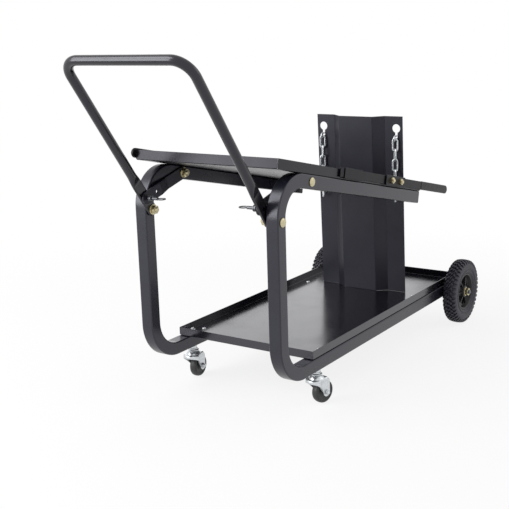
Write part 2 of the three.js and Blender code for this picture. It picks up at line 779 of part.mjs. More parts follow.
// The fork: a round pressed head with a skirt and a raised race, and two legs down to the axle
function casterFork() {
  const head = cut(solid(rodZ(forkHead, forkTop - forkSkirt, forkTop)), rodZ(forkHead - forkSheet, 0, forkUnder),
    block(-forkLeg, forkLeg, 0, 2 * forkHead, 0, forkUnder));
  const legs = [-forkLeg - forkSheet, forkLeg].map((x) => slabX(forkSide(), x, x + forkSheet, 6));
  const dome = rodZ(raceRadius, forkUnder + fit, forkTop + forkDome, raceRadius - 6);
  const bore = rodZ(stemRadius + fit, 0, 2 * forkTop);
  const axleHole = rodX(casterAxle + fit, -casterTread, casterTread, casterTrail, casterRadius);
  return cut(head.add(join(dome, ...legs)), bore, axleHole);
}

function casterWheel() {
  const half = casterTread / 2;
  const outline = [
    [casterAxle + fit, -half], [9, -half], [11, -half + 1.5], [casterRadius - 4, -half + 1.5],
    [casterRadius - 1, -half + 3.5], [casterRadius, 0], [casterRadius - 1, half - 3.5],
    [casterRadius - 4, half - 1.5], [11, half - 1.5], [9, half], [casterAxle + fit, half],
  ];
  return turnedX(outline, 24);
}

function casterAxleBolt() {
  const end = forkLeg + forkSheet + fit;
  return join(
    rodX(casterAxle, -end - 3, end + 3, 0, 0),
    hexX(11, -end - 5, -end, 0, 0),
    hexX(11, end, end + 5, 0, 0));
}

for (const [name, side] of sides) {
  const caster = new THREE.Group();
  caster.position.set(side * railCentre, casterY, 0);
  caster.rotation.z = casterTurns[name];
  cart.add(caster);
  add(`caster_stem_${name}`, casterStem(), zinc(), caster);
  add(`caster_fork_${name}`, casterFork(), zinc(), caster);
  const wheel = add(`caster_wheel_${name}`, casterWheel(), rubber(), caster);
  wheel.position.set(0, casterTrail, casterRadius);
  const bolt = add(`caster_axle_${name}`, casterAxleBolt(), zinc(), caster);
  bolt.position.set(0, casterTrail, casterRadius);
}

// The origin is on the floor below the middle of the whole cart
const box = new THREE.Box3().setFromObject(cart, true);
const middle = box.getCenter(new THREE.Vector3());
cart.position.set(-middle.x, -middle.y, -box.min.z);
const model = new THREE.Group();
model.add(cart);

export default model;
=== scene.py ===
# Welding cart of bent square tube with two trays, a back plate with chains and a folding handle.
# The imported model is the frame; every piece below is drawn in millimetres, with Y counted from the
# front face of the uprights, and then set in the frame in metres.
import json
import math

import bmesh
import bpy
from mathutils import Matrix, Vector


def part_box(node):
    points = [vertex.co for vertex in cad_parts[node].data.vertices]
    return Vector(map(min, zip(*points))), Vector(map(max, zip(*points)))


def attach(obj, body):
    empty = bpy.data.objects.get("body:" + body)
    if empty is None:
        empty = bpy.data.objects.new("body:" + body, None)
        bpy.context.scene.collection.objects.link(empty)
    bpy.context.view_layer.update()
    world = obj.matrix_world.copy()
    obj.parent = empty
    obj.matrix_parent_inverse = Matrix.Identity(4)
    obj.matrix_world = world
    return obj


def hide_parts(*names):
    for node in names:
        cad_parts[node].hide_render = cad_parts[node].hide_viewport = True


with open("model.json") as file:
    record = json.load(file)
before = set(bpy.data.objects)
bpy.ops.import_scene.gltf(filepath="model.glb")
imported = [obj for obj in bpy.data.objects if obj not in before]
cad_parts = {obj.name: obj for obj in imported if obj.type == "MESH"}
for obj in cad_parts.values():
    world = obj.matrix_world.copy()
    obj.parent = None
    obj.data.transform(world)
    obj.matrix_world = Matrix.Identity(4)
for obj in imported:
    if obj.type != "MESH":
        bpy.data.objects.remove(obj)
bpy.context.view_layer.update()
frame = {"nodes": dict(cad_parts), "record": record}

# Camera
# A short telephoto lens at chest height, in front of the push handle and to its right,
# tipped down at the cart and held a little out of level.
CAMERA_PLACE = (1.2311, -1.9820, 0.8384)
CAMERA_LENS = 69.87
yaw, pitch, roll = (math.radians(angle) for angle in (34.42, 13.40, 1.78))
ahead = Vector((-math.sin(yaw) * math.cos(pitch), math.cos(yaw) * math.cos(pitch), -math.sin(pitch)))
level = Vector((math.cos(yaw), math.sin(yaw), 0))
under = ahead.cross(level)
across = level * math.cos(roll) + under * math.sin(roll)
down = under * math.cos(roll) - level * math.sin(roll)
camera = bpy.data.objects.new("camera", bpy.data.cameras.new("camera"))
bpy.context.collection.objects.link(camera)
camera.data.sensor_fit = "HORIZONTAL"
camera.data.sensor_width = 36
camera.data.lens = CAMERA_LENS
camera.matrix_world = Matrix.Translation(CAMERA_PLACE) @ Matrix((across, -down, -ahead)).transposed().to_4x4()
bpy.context.scene.camera = camera

# Side frames
# One square steel tube on each side, bent cold from the lower rail up the front and back along
# the slope, and powder coated. The ends stay open for push-in plugs.
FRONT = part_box("side_frame_left")[0].y
DRAWING = Matrix.Translation((0, FRONT, 0)) @ Matrix.Scale(0.001, 4)
BODIES = frame["record"]["behaviour"]["bodies"]
SIDES = (("left", -1), ("right", 1))
HALF_WIDTH = 186
TUBE = 30
TUBE_WALL = 2
TUBE_CORNER = 3
RAIL_X = HALF_WIDTH - TUBE / 2
RAIL_Z = 100
SLOPE = math.radians(12.7)
TOP_CORNER = 551
LOWER_END = 912
UPPER_RUN = 655
FRAME_BENDS = (77, 70)


def linear(code):
    """An sRGB hex colour as linear light."""
    parts = [int(code[i:i + 2], 16) / 255 for i in (1, 3, 5)]
    return [p / 12.92 if p <= 0.04045 else ((p + 0.055) / 1.055) ** 2.4 for p in parts] + [1]


def add(tree, kind, inputs=None, **settings):
    """Adds one node; each input takes a value, or the output that is linked to it."""
    node = tree.nodes.new(kind)
    for name, value in settings.items():
        setattr(node, name, value)
    for name, value in (inputs or {}).items():
        if isinstance(value, bpy.types.NodeSocket):
            tree.links.new(value, node.inputs[name])
        else:
            node.inputs[name].default_value = value
    return node


def new_finish(name, **sockets):
    """A material, its tree and shader, and the Object coordinates that its patterns read."""
    material = bpy.data.materials.new(name)
    material.use_nodes = True
    tree = material.node_tree
    shader = tree.nodes["Principled BSDF"]
    for socket, value in sockets.items():
        shader.inputs[socket.replace("_", " ")].default_value = value
    return material, tree, shader, add(tree, "ShaderNodeTexCoord").outputs["Object"]


def vary(tree, pattern, socket, low, high, start=0.3, end=0.7):
    """Spreads a pattern between two values on a shader socket."""
    spread = {"Value": pattern, "From Min": start, "From Max": end, "To Min": low, "To Max": high}
    tree.links.new(add(tree, "ShaderNodeMapRange", spread).outputs["Result"], socket)


def tint(tree, pattern, socket, *stops):
    """Spreads a pattern over colours, each with its place from 0 to 1."""
    ramp = add(tree, "ShaderNodeValToRGB", {"Fac": pattern})
    while len(ramp.color_ramp.elements) < len(stops):
        ramp.color_ramp.elements.new(0.5)
    for element, (place, code) in zip(ramp.color_ramp.elements, stops):
        element.position = place
        element.color = linear(code)
    tree.links.new(ramp.outputs["Color"], socket)


def relief(tree, pattern, shader, depth, strength=1.0, under=None):
    """Raises a pattern on the surface by a depth in metres."""
    inputs = {"Height": pattern, "Distance": depth, "Strength": strength}
    if under:
        inputs["Normal"] = under
    bump = add(tree, "ShaderNodeBump", inputs).outputs["Normal"]
    tree.links.new(bump, shader.inputs["Normal"])
    return bump


# Polyester powder coat: sprayed dry and baked, so it flows to a blue-black film with a faint
# orange peel 2.5 mm across, which is drawn coarser than life so that it shows, and a sheen that
# drifts over 70 mm as the film gets thicker or thinner.
def powder_coat(name, deep, pale, ior, roughness, peel_strength):
    """The baked coat with its two shades, its gloss and the strength of its peel."""
    coat, tree, shader, place = new_finish(name, IOR=ior, Specular_Tint=linear("#f3f3ff"))
    drift = add(tree, "ShaderNodeTexNoise", {"Vector": place, "Scale": 1 / 0.070, "Detail": 3.0}).outputs["Fac"]
    peel = add(tree, "ShaderNodeTexNoise", {"Vector": place, "Scale": 1 / 0.0025, "Detail": 1.5}).outputs["Fac"]
    tint(tree, drift, shader.inputs["Base Color"], (0.3, deep), (0.7, pale))
    vary(tree, drift, shader.inputs["Roughness"], roughness - 0.04, roughness + 0.04)
    relief(tree, peel, shader, 0.00006, peel_strength)
    return coat


tube_paint = powder_coat("satin_black_powder_coat", "#14141c", "#191923", 1.58, 0.28, 0.25)


def bent_line(corners, radii, step=4.0):
    """Points and headings along a flat line whose corners are rounded to the given radii."""
    line = [(corners[0], (corners[1] - corners[0]).normalized())]
    for before, corner, after, radius in zip(corners, corners[1:], corners[2:], radii):
        come = (corner - before).normalized()
        go = (after - corner).normalized()
        turn = math.atan2(come.x * go.y - come.y * go.x, come.dot(go))
        start = corner - come * radius * math.tan(abs(turn) / 2)
        side = Vector((-come.y, come.x)) * math.copysign(radius, turn)
        steps = max(2, math.ceil(abs(math.degrees(turn)) / step))
        for i in range(steps + 1):
            part = Matrix.Rotation(turn * i / steps, 2)
            line.append((start + side - part @ side, part @ come))
    line.append((corners[-1], (corners[-1] - corners[-2]).normalized()))
    return line


def rounded_square(half, corner, steps=5):
    """A square outline with round corners."""
    points = []
    for quarter in range(4):
        middle = Matrix.Rotation(math.pi / 2 * quarter, 2) @ Vector((half - corner, half - corner))
        for i in range(steps + 1):
            turn = math.pi / 2 * (quarter + i / steps)
            points.append(middle + corner * Vector((math.cos(turn), math.sin(turn))))
    return points


def skin(bm, rings, loop=False, caps=False):
    """Faces between rings of points. A ring of one point is a pole."""
    rows = [[bm.verts.new(point) for point in ring] for ring in rings]
    for a, b in zip(rows, rows[1:] + rows[:1] if loop else rows[1:]):
        count = max(len(a), len(b))
        for i in range(count):
            j = (i + 1) % count
            corners = (a[i % len(a)], a[j % len(a)], b[j % len(b)], b[i % len(b)])
            bm.faces.new(dict.fromkeys(corners))
    if caps:
        bm.faces.new(rows[0])
        bm.faces.new(rows[-1])
    return rows


def worked(bm, *steps):
    """The mesh of a drawing after the given modifiers, each a kind and its settings."""
    bmesh.ops.recalc_face_normals(bm, faces=bm.faces)
    mesh = bpy.data.meshes.new("blank")
    bm.to_mesh(mesh)
    bm.free()
    blank = bpy.data.objects.new("blank", mesh)
    bpy.context.collection.objects.link(blank)
    for kind, settings in steps:
        modifier = blank.modifiers.new(kind, kind)
        for name, value in settings.items():
            setattr(modifier, name, value)
    graph = bpy.context.evaluated_depsgraph_get()
    result = bpy.data.meshes.new_from_object(blank.evaluated_get(graph))
    bpy.data.objects.remove(blank)
    return result


def bevel(width, segments=2, angle=40):
    """A Bevel step for edges sharper than the angle."""
    return "BEVEL", {"width": width, "segments": segments, "limit_method": "ANGLE",
                     "angle_limit": math.radians(angle), "use_clamp_overlap": True}


def piece(name, mesh, material, *nodes, body=None, slot=None, sharp=38):
    """Sets a drawn mesh in the frame, on the given body or that of the node it replaces, and hides that node."""
    mesh.transform(DRAWING)
    mesh.materials.clear()
    mesh.materials.append(material)
    mesh.shade_smooth()
    mesh.set_sharp_from_angle(angle=math.radians(sharp))
    made = bpy.data.objects.new(name, mesh)
    bpy.context.collection.objects.link(made)
    even = made.modifiers.new("even_shading", "WEIGHTED_NORMAL")
    even.keep_sharp = True
    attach(made, body or next(part for part, held in BODIES.items() if nodes[0] in held))
    if nodes:
        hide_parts(*nodes)
    return made


upper_corner = Vector((TUBE / 2, TOP_CORNER - TUBE / 2 * math.tan(SLOPE) - TUBE / 2 / math.cos(SLOPE)))
upper_end = upper_corner + UPPER_RUN * Vector((math.cos(SLOPE), -math.sin(SLOPE)))
frame_corners = [Vector((LOWER_END, RAIL_Z)), Vector((TUBE / 2, RAIL_Z)), upper_corner, upper_end]
frame_line = bent_line(frame_corners, FRAME_BENDS, 3.0)


def tube_rings(x, outline):
    """The tube's outline at each station of its bent line."""
    return [[Vector((x + u, at.x - heading.y * v, at.y + heading.x * v)) for u, v in outline]
            for at, heading in frame_line]


for name, side in SIDES:
    bm = bmesh.new()
    outside = tube_rings(side * RAIL_X, rounded_square(TUBE / 2, TUBE_CORNER))
    inside = tube_rings(side * RAIL_X, rounded_square(TUBE / 2 - TUBE_WALL, TUBE_CORNER - TUBE_WALL))
    skin(bm, outside + inside[::-1], loop=True)
    piece(f"frame_tube_{name}", worked(bm), tube_paint, f"side_frame_{name}")

# End plugs
# Push-in caps of black polyethylene that close the four open tube ends, moulded with a soft
# domed face and a hollow square stem that grips the bore.
PLUG_CAP = 3
PLUG_GAP = 0.3
PLUG_STEM = 14

# Polyethylene, moulded: a waxy dark face with a fine spark-eroded grain about 1 mm across.
plug_plastic, tree, shader, place = new_finish("moulded_black_polyethylene", IOR=1.51)
grain = add(tree, "ShaderNodeTexNoise", {"Vector": place, "Scale": 1 / 0.001, "Detail": 2.0}).outputs["Fac"]
tint(tree, grain, shader.inputs["Base Color"], (0.3, "#161617"), (0.7, "#1d1d1f"))
vary(tree, grain, shader.inputs["Roughness"], 0.42, 0.52)
relief(tree, grain, shader, 0.00005, 0.4)


def end_plug():
    """One plug on the end of a tube that runs along +Y."""
    bm = bmesh.new()
    cap = [(PLUG_GAP, 0.6), (PLUG_GAP + 0.5, 0), (PLUG_GAP + PLUG_CAP - 1.2, 0),
           (PLUG_GAP + PLUG_CAP - 0.4, 0.5), (PLUG_GAP + PLUG_CAP - 0.1, 1.4), (PLUG_GAP + PLUG_CAP, 4)]
    for stations in (cap, [(-PLUG_STEM, 3.2), (-PLUG_STEM + 2, TUBE_WALL + 0.5), (1, TUBE_WALL + 0.5)]):
        rings = []
        for y, inset in stations:
            outline = rounded_square(TUBE / 2 - inset, TUBE_CORNER)
            rings.append([Vector((u, y, v)) for u, v in outline])
        skin(bm, rings, caps=True)
    return worked(bm)


for name, side in SIDES:
    lower_plug = end_plug()
    lower_plug.transform(Matrix.Translation((side * RAIL_X, LOWER_END, RAIL_Z)))
    piece(f"rail_plug_{name}", lower_plug, plug_plastic, f"lower_end_plug_{name}")
    upper_plug = end_plug()
    upper_plug.transform(Matrix.Translation((side * RAIL_X, upper_end.x, upper_end.y))
                         @ Matrix.Rotation(-SLOPE, 4, "X"))
    piece(f"slope_plug_{name}", upper_plug, plug_plastic, f"upper_end_plug_{name}")

# Lower tray
# A pan of 1.5 mm sheet with four lips folded up and butted at the corners, powder coated and
# screwed down to the rails.
SHEET = 1.5
FOLD = 2.2
CORNER_GAP = 0.7
LOWER_TRAY = {"width": 367, "front": 130, "length": 771, "lip": 20, "base": 115.3}


def folded_tray(width, front, length, lip, base):
    """A folded pan: a floor and four lips with round folds, open at the corners."""
    half = Vector((width / 2, length / 2))
    bm = bmesh.new()
    corners = {}

    def corner(u, v):
        spot = (round(u, 4), round(v, 4))
        if spot not in corners:
            corners[spot] = bm.verts.new((u, v, 0))
        return corners[spot]

    inner = half - Vector((FOLD, FOLD))
    bm.faces.new([corner(s * inner.x, t * inner.y) for s, t in ((-1, -1), (1, -1), (1, 1), (-1, 1))])
    fold_steps = 5
    for axis in (0, 1):
        reach = half[1 - axis] - (0 if axis == 0 else SHEET + CORNER_GAP)
        run = [-reach, -inner[1 - axis], inner[1 - axis], reach]
        for way in (-1, 1):
            columns = []
            for along in run:
                fold = [math.pi / 2 * i / fold_steps for i in range(fold_steps + 1)]
                profile = [(inner[axis] + FOLD * math.sin(a), FOLD * (1 - math.cos(a))) for a in fold]
                profile.append((half[axis], lip))
                spots = []
                for out, height in profile:
                    spot = (way * out, along) if axis == 0 else (along, way * out)
                    spots.append((*spot, height))
                columns.append(spots)
            rows = []
            for index, spots in enumerate(columns):
                row = [bm.verts.new(spot) for spot in spots]
                if index in (1, 2):
                    bm.verts.remove(row[0])
                    row[0] = corner(spots[0][0], spots[0][1])
                rows.append(row)
            for index in range(3):
                first = 0 if index == 1 else fold_steps
                for k in range(first, fold_steps + 1):
                    a, b = rows[index], rows[index + 1]
                    bm.faces.new((a[k], b[k], b[k + 1], a[k + 1]))
            for index in (0, 3):
                for vertex in rows[index][:fold_steps]:
                    bm.verts.remove(vertex)
    bmesh.ops.recalc_face_normals(bm, faces=bm.faces)
    bm.faces.ensure_lookup_table()
    if bm.faces[0].normal.z > 0:
        bmesh.ops.reverse_faces(bm, faces=bm.faces)
    mesh = bpy.data.meshes.new("pan")
    bm.to_mesh(mesh)
    bm.free()
    shell = bmesh.new()
    shell.from_mesh(mesh)
    bmesh.ops.translate(shell, verts=shell.verts, vec=(0, front + length / 2, base))
    return shell


def sheet_metal(bm, thickness, offset=-1.0):
    """A drawn surface given the sheet's thickness."""
    mesh = bpy.data.meshes.new("blank")
    bm.to_mesh(mesh)
    bm.free()
    blank = bpy.data.objects.new("blank", mesh)
    bpy.context.collection.objects.link(blank)
    wall = blank.modifiers.new("wall", "SOLIDIFY")
    wall.thickness = thickness
    wall.offset = offset
    graph = bpy.context.evaluated_depsgraph_get()
    solid = bmesh.new()
    solid.from_mesh(bpy.data.meshes.new_from_object(blank.evaluated_get(graph)))
    bpy.data.objects.remove(blank)
    return solid


# On the flat sheet the coat flows out smoother, so the floor mirrors softly at a low angle.
tray_paint = powder_coat("smooth_black_powder_coat", "#0b0b10", "#101016", 1.8, 0.2, 0.08)

piece("lower_pan", worked(sheet_metal(folded_tray(**LOWER_TRAY), SHEET), bevel(0.35)), tray_paint, "lower_tray")

# Back plate
# A 2 mm sheet folded to a shallow hat that the gas bottle leans in, with a keyhole in each flange
# for the chain. It leans forward a little and is screwed to the lower tray by its foot.
PLATE_SHEET = 2
PLATE_FOOT = Vector((708, 117.1))
PLATE_LEAN = math.radians(2.6)
PLATE_TOP = 586
PLATE_HALF = 125
PLATE_STEP = 20
PLATE_FLAT = 48
PLATE_FOLD = 74
PLATE_BEND = 4
FOOT_HALF = 44
FOOT_DEPTH = 28
KEYHOLE_X = 107
KEYHOLE_Z = 555
KEYHOLE_RADIUS = 11
KEY_SLOT = 7
KEY_DROP = 34


def plate_face(z):
    """How far back the flanges' front face is at a height."""
    return PLATE_FOOT.x - (z - PLATE_FOOT.y) * math.tan(PLATE_LEAN)


half_line = [Vector((PLATE_FLAT, -PLATE_STEP)), Vector((PLATE_FOLD, 0)), Vector((PLATE_HALF, 0))]
plate_line = [Vector((-p.x, p.y)) for p in reversed(half_line)] + half_line
bm = bmesh.new()
columns = []
for at, _ in bent_line(plate_line, [PLATE_BEND] * 4, 8.0):
    back = at.y + PLATE_SHEET / 2
    foot = -back * math.tan(PLATE_LEAN)
    top = (PLATE_TOP - PLATE_FOOT.y) / math.cos(PLATE_LEAN)
    column = []
    for run in (foot, top):
        y = PLATE_FOOT.x + back * math.cos(PLATE_LEAN) - run * math.sin(PLATE_LEAN)
        z = PLATE_FOOT.y + back * math.sin(PLATE_LEAN) + run * math.cos(PLATE_LEAN)
        column.append(bm.verts.new((at.x, y, z)))
    columns.append(column)
for a, b in zip(columns, columns[1:]):
    bm.faces.new((a[0], b[0], b[1], a[1]))
plate_wall = sheet_metal(bm, PLATE_SHEET, offset=0.0)

cutter = bmesh.new()
for side in (-1, 1):
    neck = math.asin(KEY_SLOT / 2 / KEYHOLE_RADIUS)
    outline = []
    for i in range(49):
        turn = -math.pi / 2 + neck + (2 * math.pi - 2 * neck) * i / 48
        outline.append((KEYHOLE_RADIUS * math.cos(turn), KEYHOLE_RADIUS * math.sin(turn)))
    for i in range(13):
        turn = math.pi + math.pi * i / 12
        outline.append((KEY_SLOT / 2 * math.cos(turn), KEY_SLOT / 2 * (1 + math.sin(turn)) - KEY_DROP))
    rings = [[Vector((side * KEYHOLE_X + u, y, KEYHOLE_Z + v)) for u, v in outline] for y in (660, 720)]
    skin(cutter, rings, caps=True)
bmesh.ops.recalc_face_normals(cutter, faces=cutter.faces)
cut_mesh = bpy.data.meshes.new("keyholes")
cutter.to_mesh(cut_mesh)
cutter.free()
keyholes = bpy.data.objects.new("keyholes", cut_mesh)
bpy.context.collection.objects.link(keyholes)
cut_step = ("BOOLEAN", {"object": keyholes, "operation": "DIFFERENCE", "solver": "EXACT"})
plate_mesh = worked(plate_wall, cut_step, bevel(0.4))
bpy.data.objects.remove(keyholes)

foot = bmesh.new()
panel = plate_face(PLATE_FOOT.y) - PLATE_STEP / math.cos(PLATE_LEAN)
foot_line = [Vector((panel + 1, PLATE_FOOT.y + 9)), Vector((panel + 1, PLATE_FOOT.y + 1)),
             Vector((panel + 1 + FOOT_DEPTH, PLATE_FOOT.y + 1))]
columns = [[foot.verts.new((x, at.x, at.y)) for x in (-FOOT_HALF, FOOT_HALF)]
           for at, _ in bent_line(foot_line, [3], 10.0)]
for a, b in zip(columns, columns[1:]):
    foot.faces.new((a[0], a[1], b[1], b[0]))
foot_mesh = worked(sheet_metal(foot, PLATE_SHEET, offset=0.0), bevel(0.4))
whole = bmesh.new()
whole.from_mesh(plate_mesh)
whole.from_mesh(foot_mesh)
joined = bpy.data.meshes.new("plate")
whole.to_mesh(joined)
whole.free()

# The plate's coat is thinner and duller than the trays'.
plate_paint = powder_coat("dull_black_powder_coat", "#1f1f27", "#27272f", 1.42, 0.42, 0.2)
piece("back_panel", joined, plate_paint, "back_plate")

# Top tray
# The same folded pan as the lower one, laid on the sloping rails and screwed to them, with its
# rear lip against the back plate.
TOP_TRAY = {"width": 366, "front": 8.2, "length": 677.5, "lip": 22, "base": 0.3}
ON_SLOPE = Matrix.Translation((0, 0, TOP_CORNER)) @ Matrix.Rotation(-SLOPE, 4, "X")
top_pan = worked(sheet_metal(folded_tray(**TOP_TRAY), SHEET), bevel(0.35))
top_pan.transform(ON_SLOPE)

# The coat on the upper pan is as smooth as on the lower one, but thinner and less glossy.
upper_paint = powder_coat("thin_black_powder_coat", "#0b0b10", "#101016", 1.38, 0.28, 0.08)
piece("top_pan", top_pan, upper_paint, "top_tray")

# Tray and plate screws
# Zinc-plated pan-head screws with a cross recess, driven through the trays into the rails and
# through the plate's foot into the lower tray.
SCREW_HEAD = 5
SCREW_RISE = 3

# Clear zinc plate: bright, slightly blue-white metal with soft cloudy patches 4 mm across from the
# bath, which make the reflections uneven.
bright_zinc, tree, shader, place = new_finish("clear_zinc_plate", Metallic=1.0)
cloud = add(tree, "ShaderNodeTexNoise", {"Vector": place, "Scale": 1 / 0.004, "Detail": 3.0}).outputs["Fac"]
tint(tree, cloud, shader.inputs["Base Color"], (0.3, "#c4c8cb"), (0.7, "#e0e3e5"))
vary(tree, cloud, shader.inputs["Roughness"], 0.3, 0.42)
relief(tree, cloud, shader, 0.00004, 0.3)


def turned(bm, outline, steps=40, matrix=Matrix(), loop=False):
    """A turned body about X from an outline of radius and place."""
    rings = []
    for radius, x in outline:
        count = steps if radius > 0 else 1
        turns = [2 * math.pi * i / count for i in range(count)]
        rings.append([matrix @ Vector((x, radius * math.cos(a), radius * math.sin(a))) for a in turns])
    return skin(bm, rings, loop=loop)


def new_tree(name, **inputs):
    """A Geometry Nodes tree with named inputs, and the sockets that carry them."""
    tree = bpy.data.node_groups.new(name, "GeometryNodeTree")
    tree.interface.new_socket("Geometry", in_out="OUTPUT", socket_type="NodeSocketGeometry")
    for label, kind in inputs.items():
        tree.interface.new_socket(label.replace("_", " "), in_out="INPUT", socket_type=f"NodeSocket{kind}")
    return tree, add(tree, "NodeGroupInput").outputs


def end_tree(tree, geometry, material):
    """Realizes what a tree made, gives it its finish and sends it out."""
    real = add(tree, "GeometryNodeRealizeInstances", {"Geometry": geometry}).outputs["Geometry"]
    finished = add(tree, "GeometryNodeSetMaterial", {"Geometry": real, "Material": material})
    add(tree, "NodeGroupOutput", {"Geometry": finished.outputs["Geometry"]})


def grown(tree, **values):
    """The plain mesh that a tree makes with these values."""
    blank = bpy.data.objects.new("blank", bpy.data.meshes.new("blank"))
    bpy.context.collection.objects.link(blank)
    modifier = blank.modifiers.new("tree", "NODES")
    modifier.node_group = tree
    for item in tree.interface.items_tree:
        label = item.name.replace(" ", "_")
        if item.in_out == "INPUT" and label in values:
            modifier[item.identifier] = values[label]
    graph = bpy.context.evaluated_depsgraph_get()
    mesh = bpy.data.meshes.new_from_object(blank.evaluated_get(graph))
    bpy.data.objects.remove(blank)
    return mesh


def pattern(name, mesh):
    """An object that a tree copies, taken away again by drop()."""
    made = bpy.data.objects.new(name, mesh)
    bpy.context.collection.objects.link(made)
    return made


def drop(*objects):
    """Takes away the patterns that the trees have copied."""
    for made in objects:
        bpy.data.objects.remove(made)


screw_tree, sockets = new_tree("screw_set", Screw="Object", Places="Object", Seed="Int", Material="Material")
head = add(screw_tree, "GeometryNodeObjectInfo", {"Object": sockets["Screw"]}).outputs["Geometry"]
spots = add(screw_tree, "GeometryNodeObjectInfo", {"Object": sockets["Places"]}).outputs["Geometry"]
spin = add(screw_tree, "FunctionNodeRandomValue", {"Seed": sockets["Seed"], 2: 0.0, 3: math.pi})
turn = add(screw_tree, "ShaderNodeCombineXYZ", {"Z": spin.outputs[1]}).outputs["Vector"]
copies = add(screw_tree, "GeometryNodeInstanceOnPoints", {"Points": spots, "Instance": head, "Rotation": turn})
end_tree(screw_tree, copies.outputs["Instances"], sockets["Material"])


def screw_head():
    """A pan head with a cross recess, standing on Z = 0."""
    bm = bmesh.new()
    dome = [(SCREW_HEAD, 0), (SCREW_HEAD, 0.7)]
    for i in range(1, 8):
        a = math.pi / 2 * i / 8
        dome.append((SCREW_HEAD * math.cos(a) ** 0.7, 0.7 + (SCREW_RISE - 0.7) * math.sin(a)))
    turned(bm, [(0, 0), *dome, (0, SCREW_RISE)], 24, Matrix.Rotation(-math.pi / 2, 4, "Y"))
    cross = bmesh.new()
    for turn in (0, math.pi / 2):
        at = Matrix.Rotation(turn, 4, "Z") @ Matrix.Translation((0, 0, SCREW_RISE))
        bmesh.ops.create_cube(cross, size=1, matrix=at @ Matrix.Diagonal((5.2, 1.1, 3.0, 1)))
    mesh = bpy.data.meshes.new("cross")
    cross.to_mesh(mesh)
    cross.free()
    blade = pattern("cross", mesh)
    made = worked(bm, ("BOOLEAN", {"object": blade, "operation": "DIFFERENCE", "solver": "EXACT",
                                   "use_self": True}))
    drop(blade)
    return made


def screws(name, places, matrix, body, seed):
    """A set of screws at places on a plane, set by the matrix."""
    spots = bpy.data.meshes.new("spots")
    spots.from_pydata(places, [], [])
    screw, marks = pattern("screw", screw_head()), pattern("marks", spots)
    mesh = grown(screw_tree, Screw=screw, Places=marks, Seed=seed, Material=bright_zinc)
    drop(screw, marks)
    mesh.transform(matrix)
    return piece(name, mesh, bright_zinc, body=body, slot="bright_zinc")


tray_floor = LOWER_TRAY["base"] + SHEET
lower_spots = [(side * 160, y, tray_floor) for side in (-1, 1) for y in (194, 680)]
screws("lower_tray_screws", lower_spots, Matrix(), "cart", 3)
foot_spots = [(side * 26, panel + 18, PLATE_FOOT.y + PLATE_SHEET) for side in (-1, 1)]
screws("plate_foot_screws", foot_spots, Matrix(), "cart", 5)
top_spots = [(side * 165, y, TOP_TRAY["base"] + SHEET) for side in (-1, 1) for y in (60, 345, 630)]
screws("top_tray_screws", top_spots, ON_SLOPE, "cart", 7)

# Push handle
# One round steel tube bent to a wide U, its two ends pressed flat and holed for the lock pins,
# and coated in a glossier black than the frame.
PIVOT = Vector((0, 17, 441))
HANDLE_LEAN = math.radians(36)
HANDLE_REACH = 410
HANDLE_BEND = 40
LEG_X = 152.7
GRIP = 10
TONGUE_THICK = 3
TONGUE_WIDE = 14
TONGUE_LONG = 75
SWAGE = 30
LOCK_REACH = 36
LOCK_HOLE = 3.8

# Gloss powder coat: the round tube carries a smoother film than the sheet metal, so it shows
# narrow bright streaks.
tube_coat, tree, shader, place = new_finish("gloss_black_tube_coat", IOR=1.6, Specular_Tint=linear("#f3f3ff"))
drift = add(tree, "ShaderNodeTexNoise", {"Vector": place, "Scale": 1 / 0.050, "Detail": 2.0}).outputs["Fac"]
tint(tree, drift, shader.inputs["Base Color"], (0.3, "#050508"), (0.7, "#09090d"))
vary(tree, drift, shader.inputs["Roughness"], 0.2, 0.26)


def handle_ring(x, z, out, thick, wide, steps=36):
    """The tube's section: round in the grip, a flattened band in the tongues."""
    points = []
    for i in range(steps):
        turn = 2 * math.pi * (i + 0.5) / steps
        stretch = max(wide - thick, 0) * math.copysign(1, math.sin(turn))
        along = min(thick, wide) * math.sin(turn) + stretch
        points.append(Vector((x + thick * math.cos(turn) * out.x, along, z + thick * math.cos(turn) * out.y)))
    return points


def handle_half():
    """Stations of the left leg from the tongue's round end up to the grip's middle."""
    left = Vector((-1, 0))
    rings = []
    for i in range(1, 9):
        turn = math.pi / 2 * i / 8
        z, wide = -TONGUE_WIDE * math.cos(turn), TONGUE_WIDE * math.sin(turn)
        rings.append(handle_ring(-LEG_X, z, left, TONGUE_THICK, wide))
    for i in range(11):
        part = i / 10
        ease = part * part * (3 - 2 * part)
        thick = TONGUE_THICK + (GRIP - TONGUE_THICK) * ease
        wide = TONGUE_WIDE + (GRIP - TONGUE_WIDE) * ease
        rings.append(handle_ring(-LEG_X, TONGUE_LONG + SWAGE * part, left, thick, wide))
    for i in range(17):
        turn = math.pi / 2 * i / 16
        out = Vector((-math.cos(turn), math.sin(turn)))
        x = -LEG_X + HANDLE_BEND + HANDLE_BEND * out.x
        rings.append(handle_ring(x, HANDLE_REACH - HANDLE_BEND + HANDLE_BEND * out.y, out, GRIP, GRIP))
    return rings


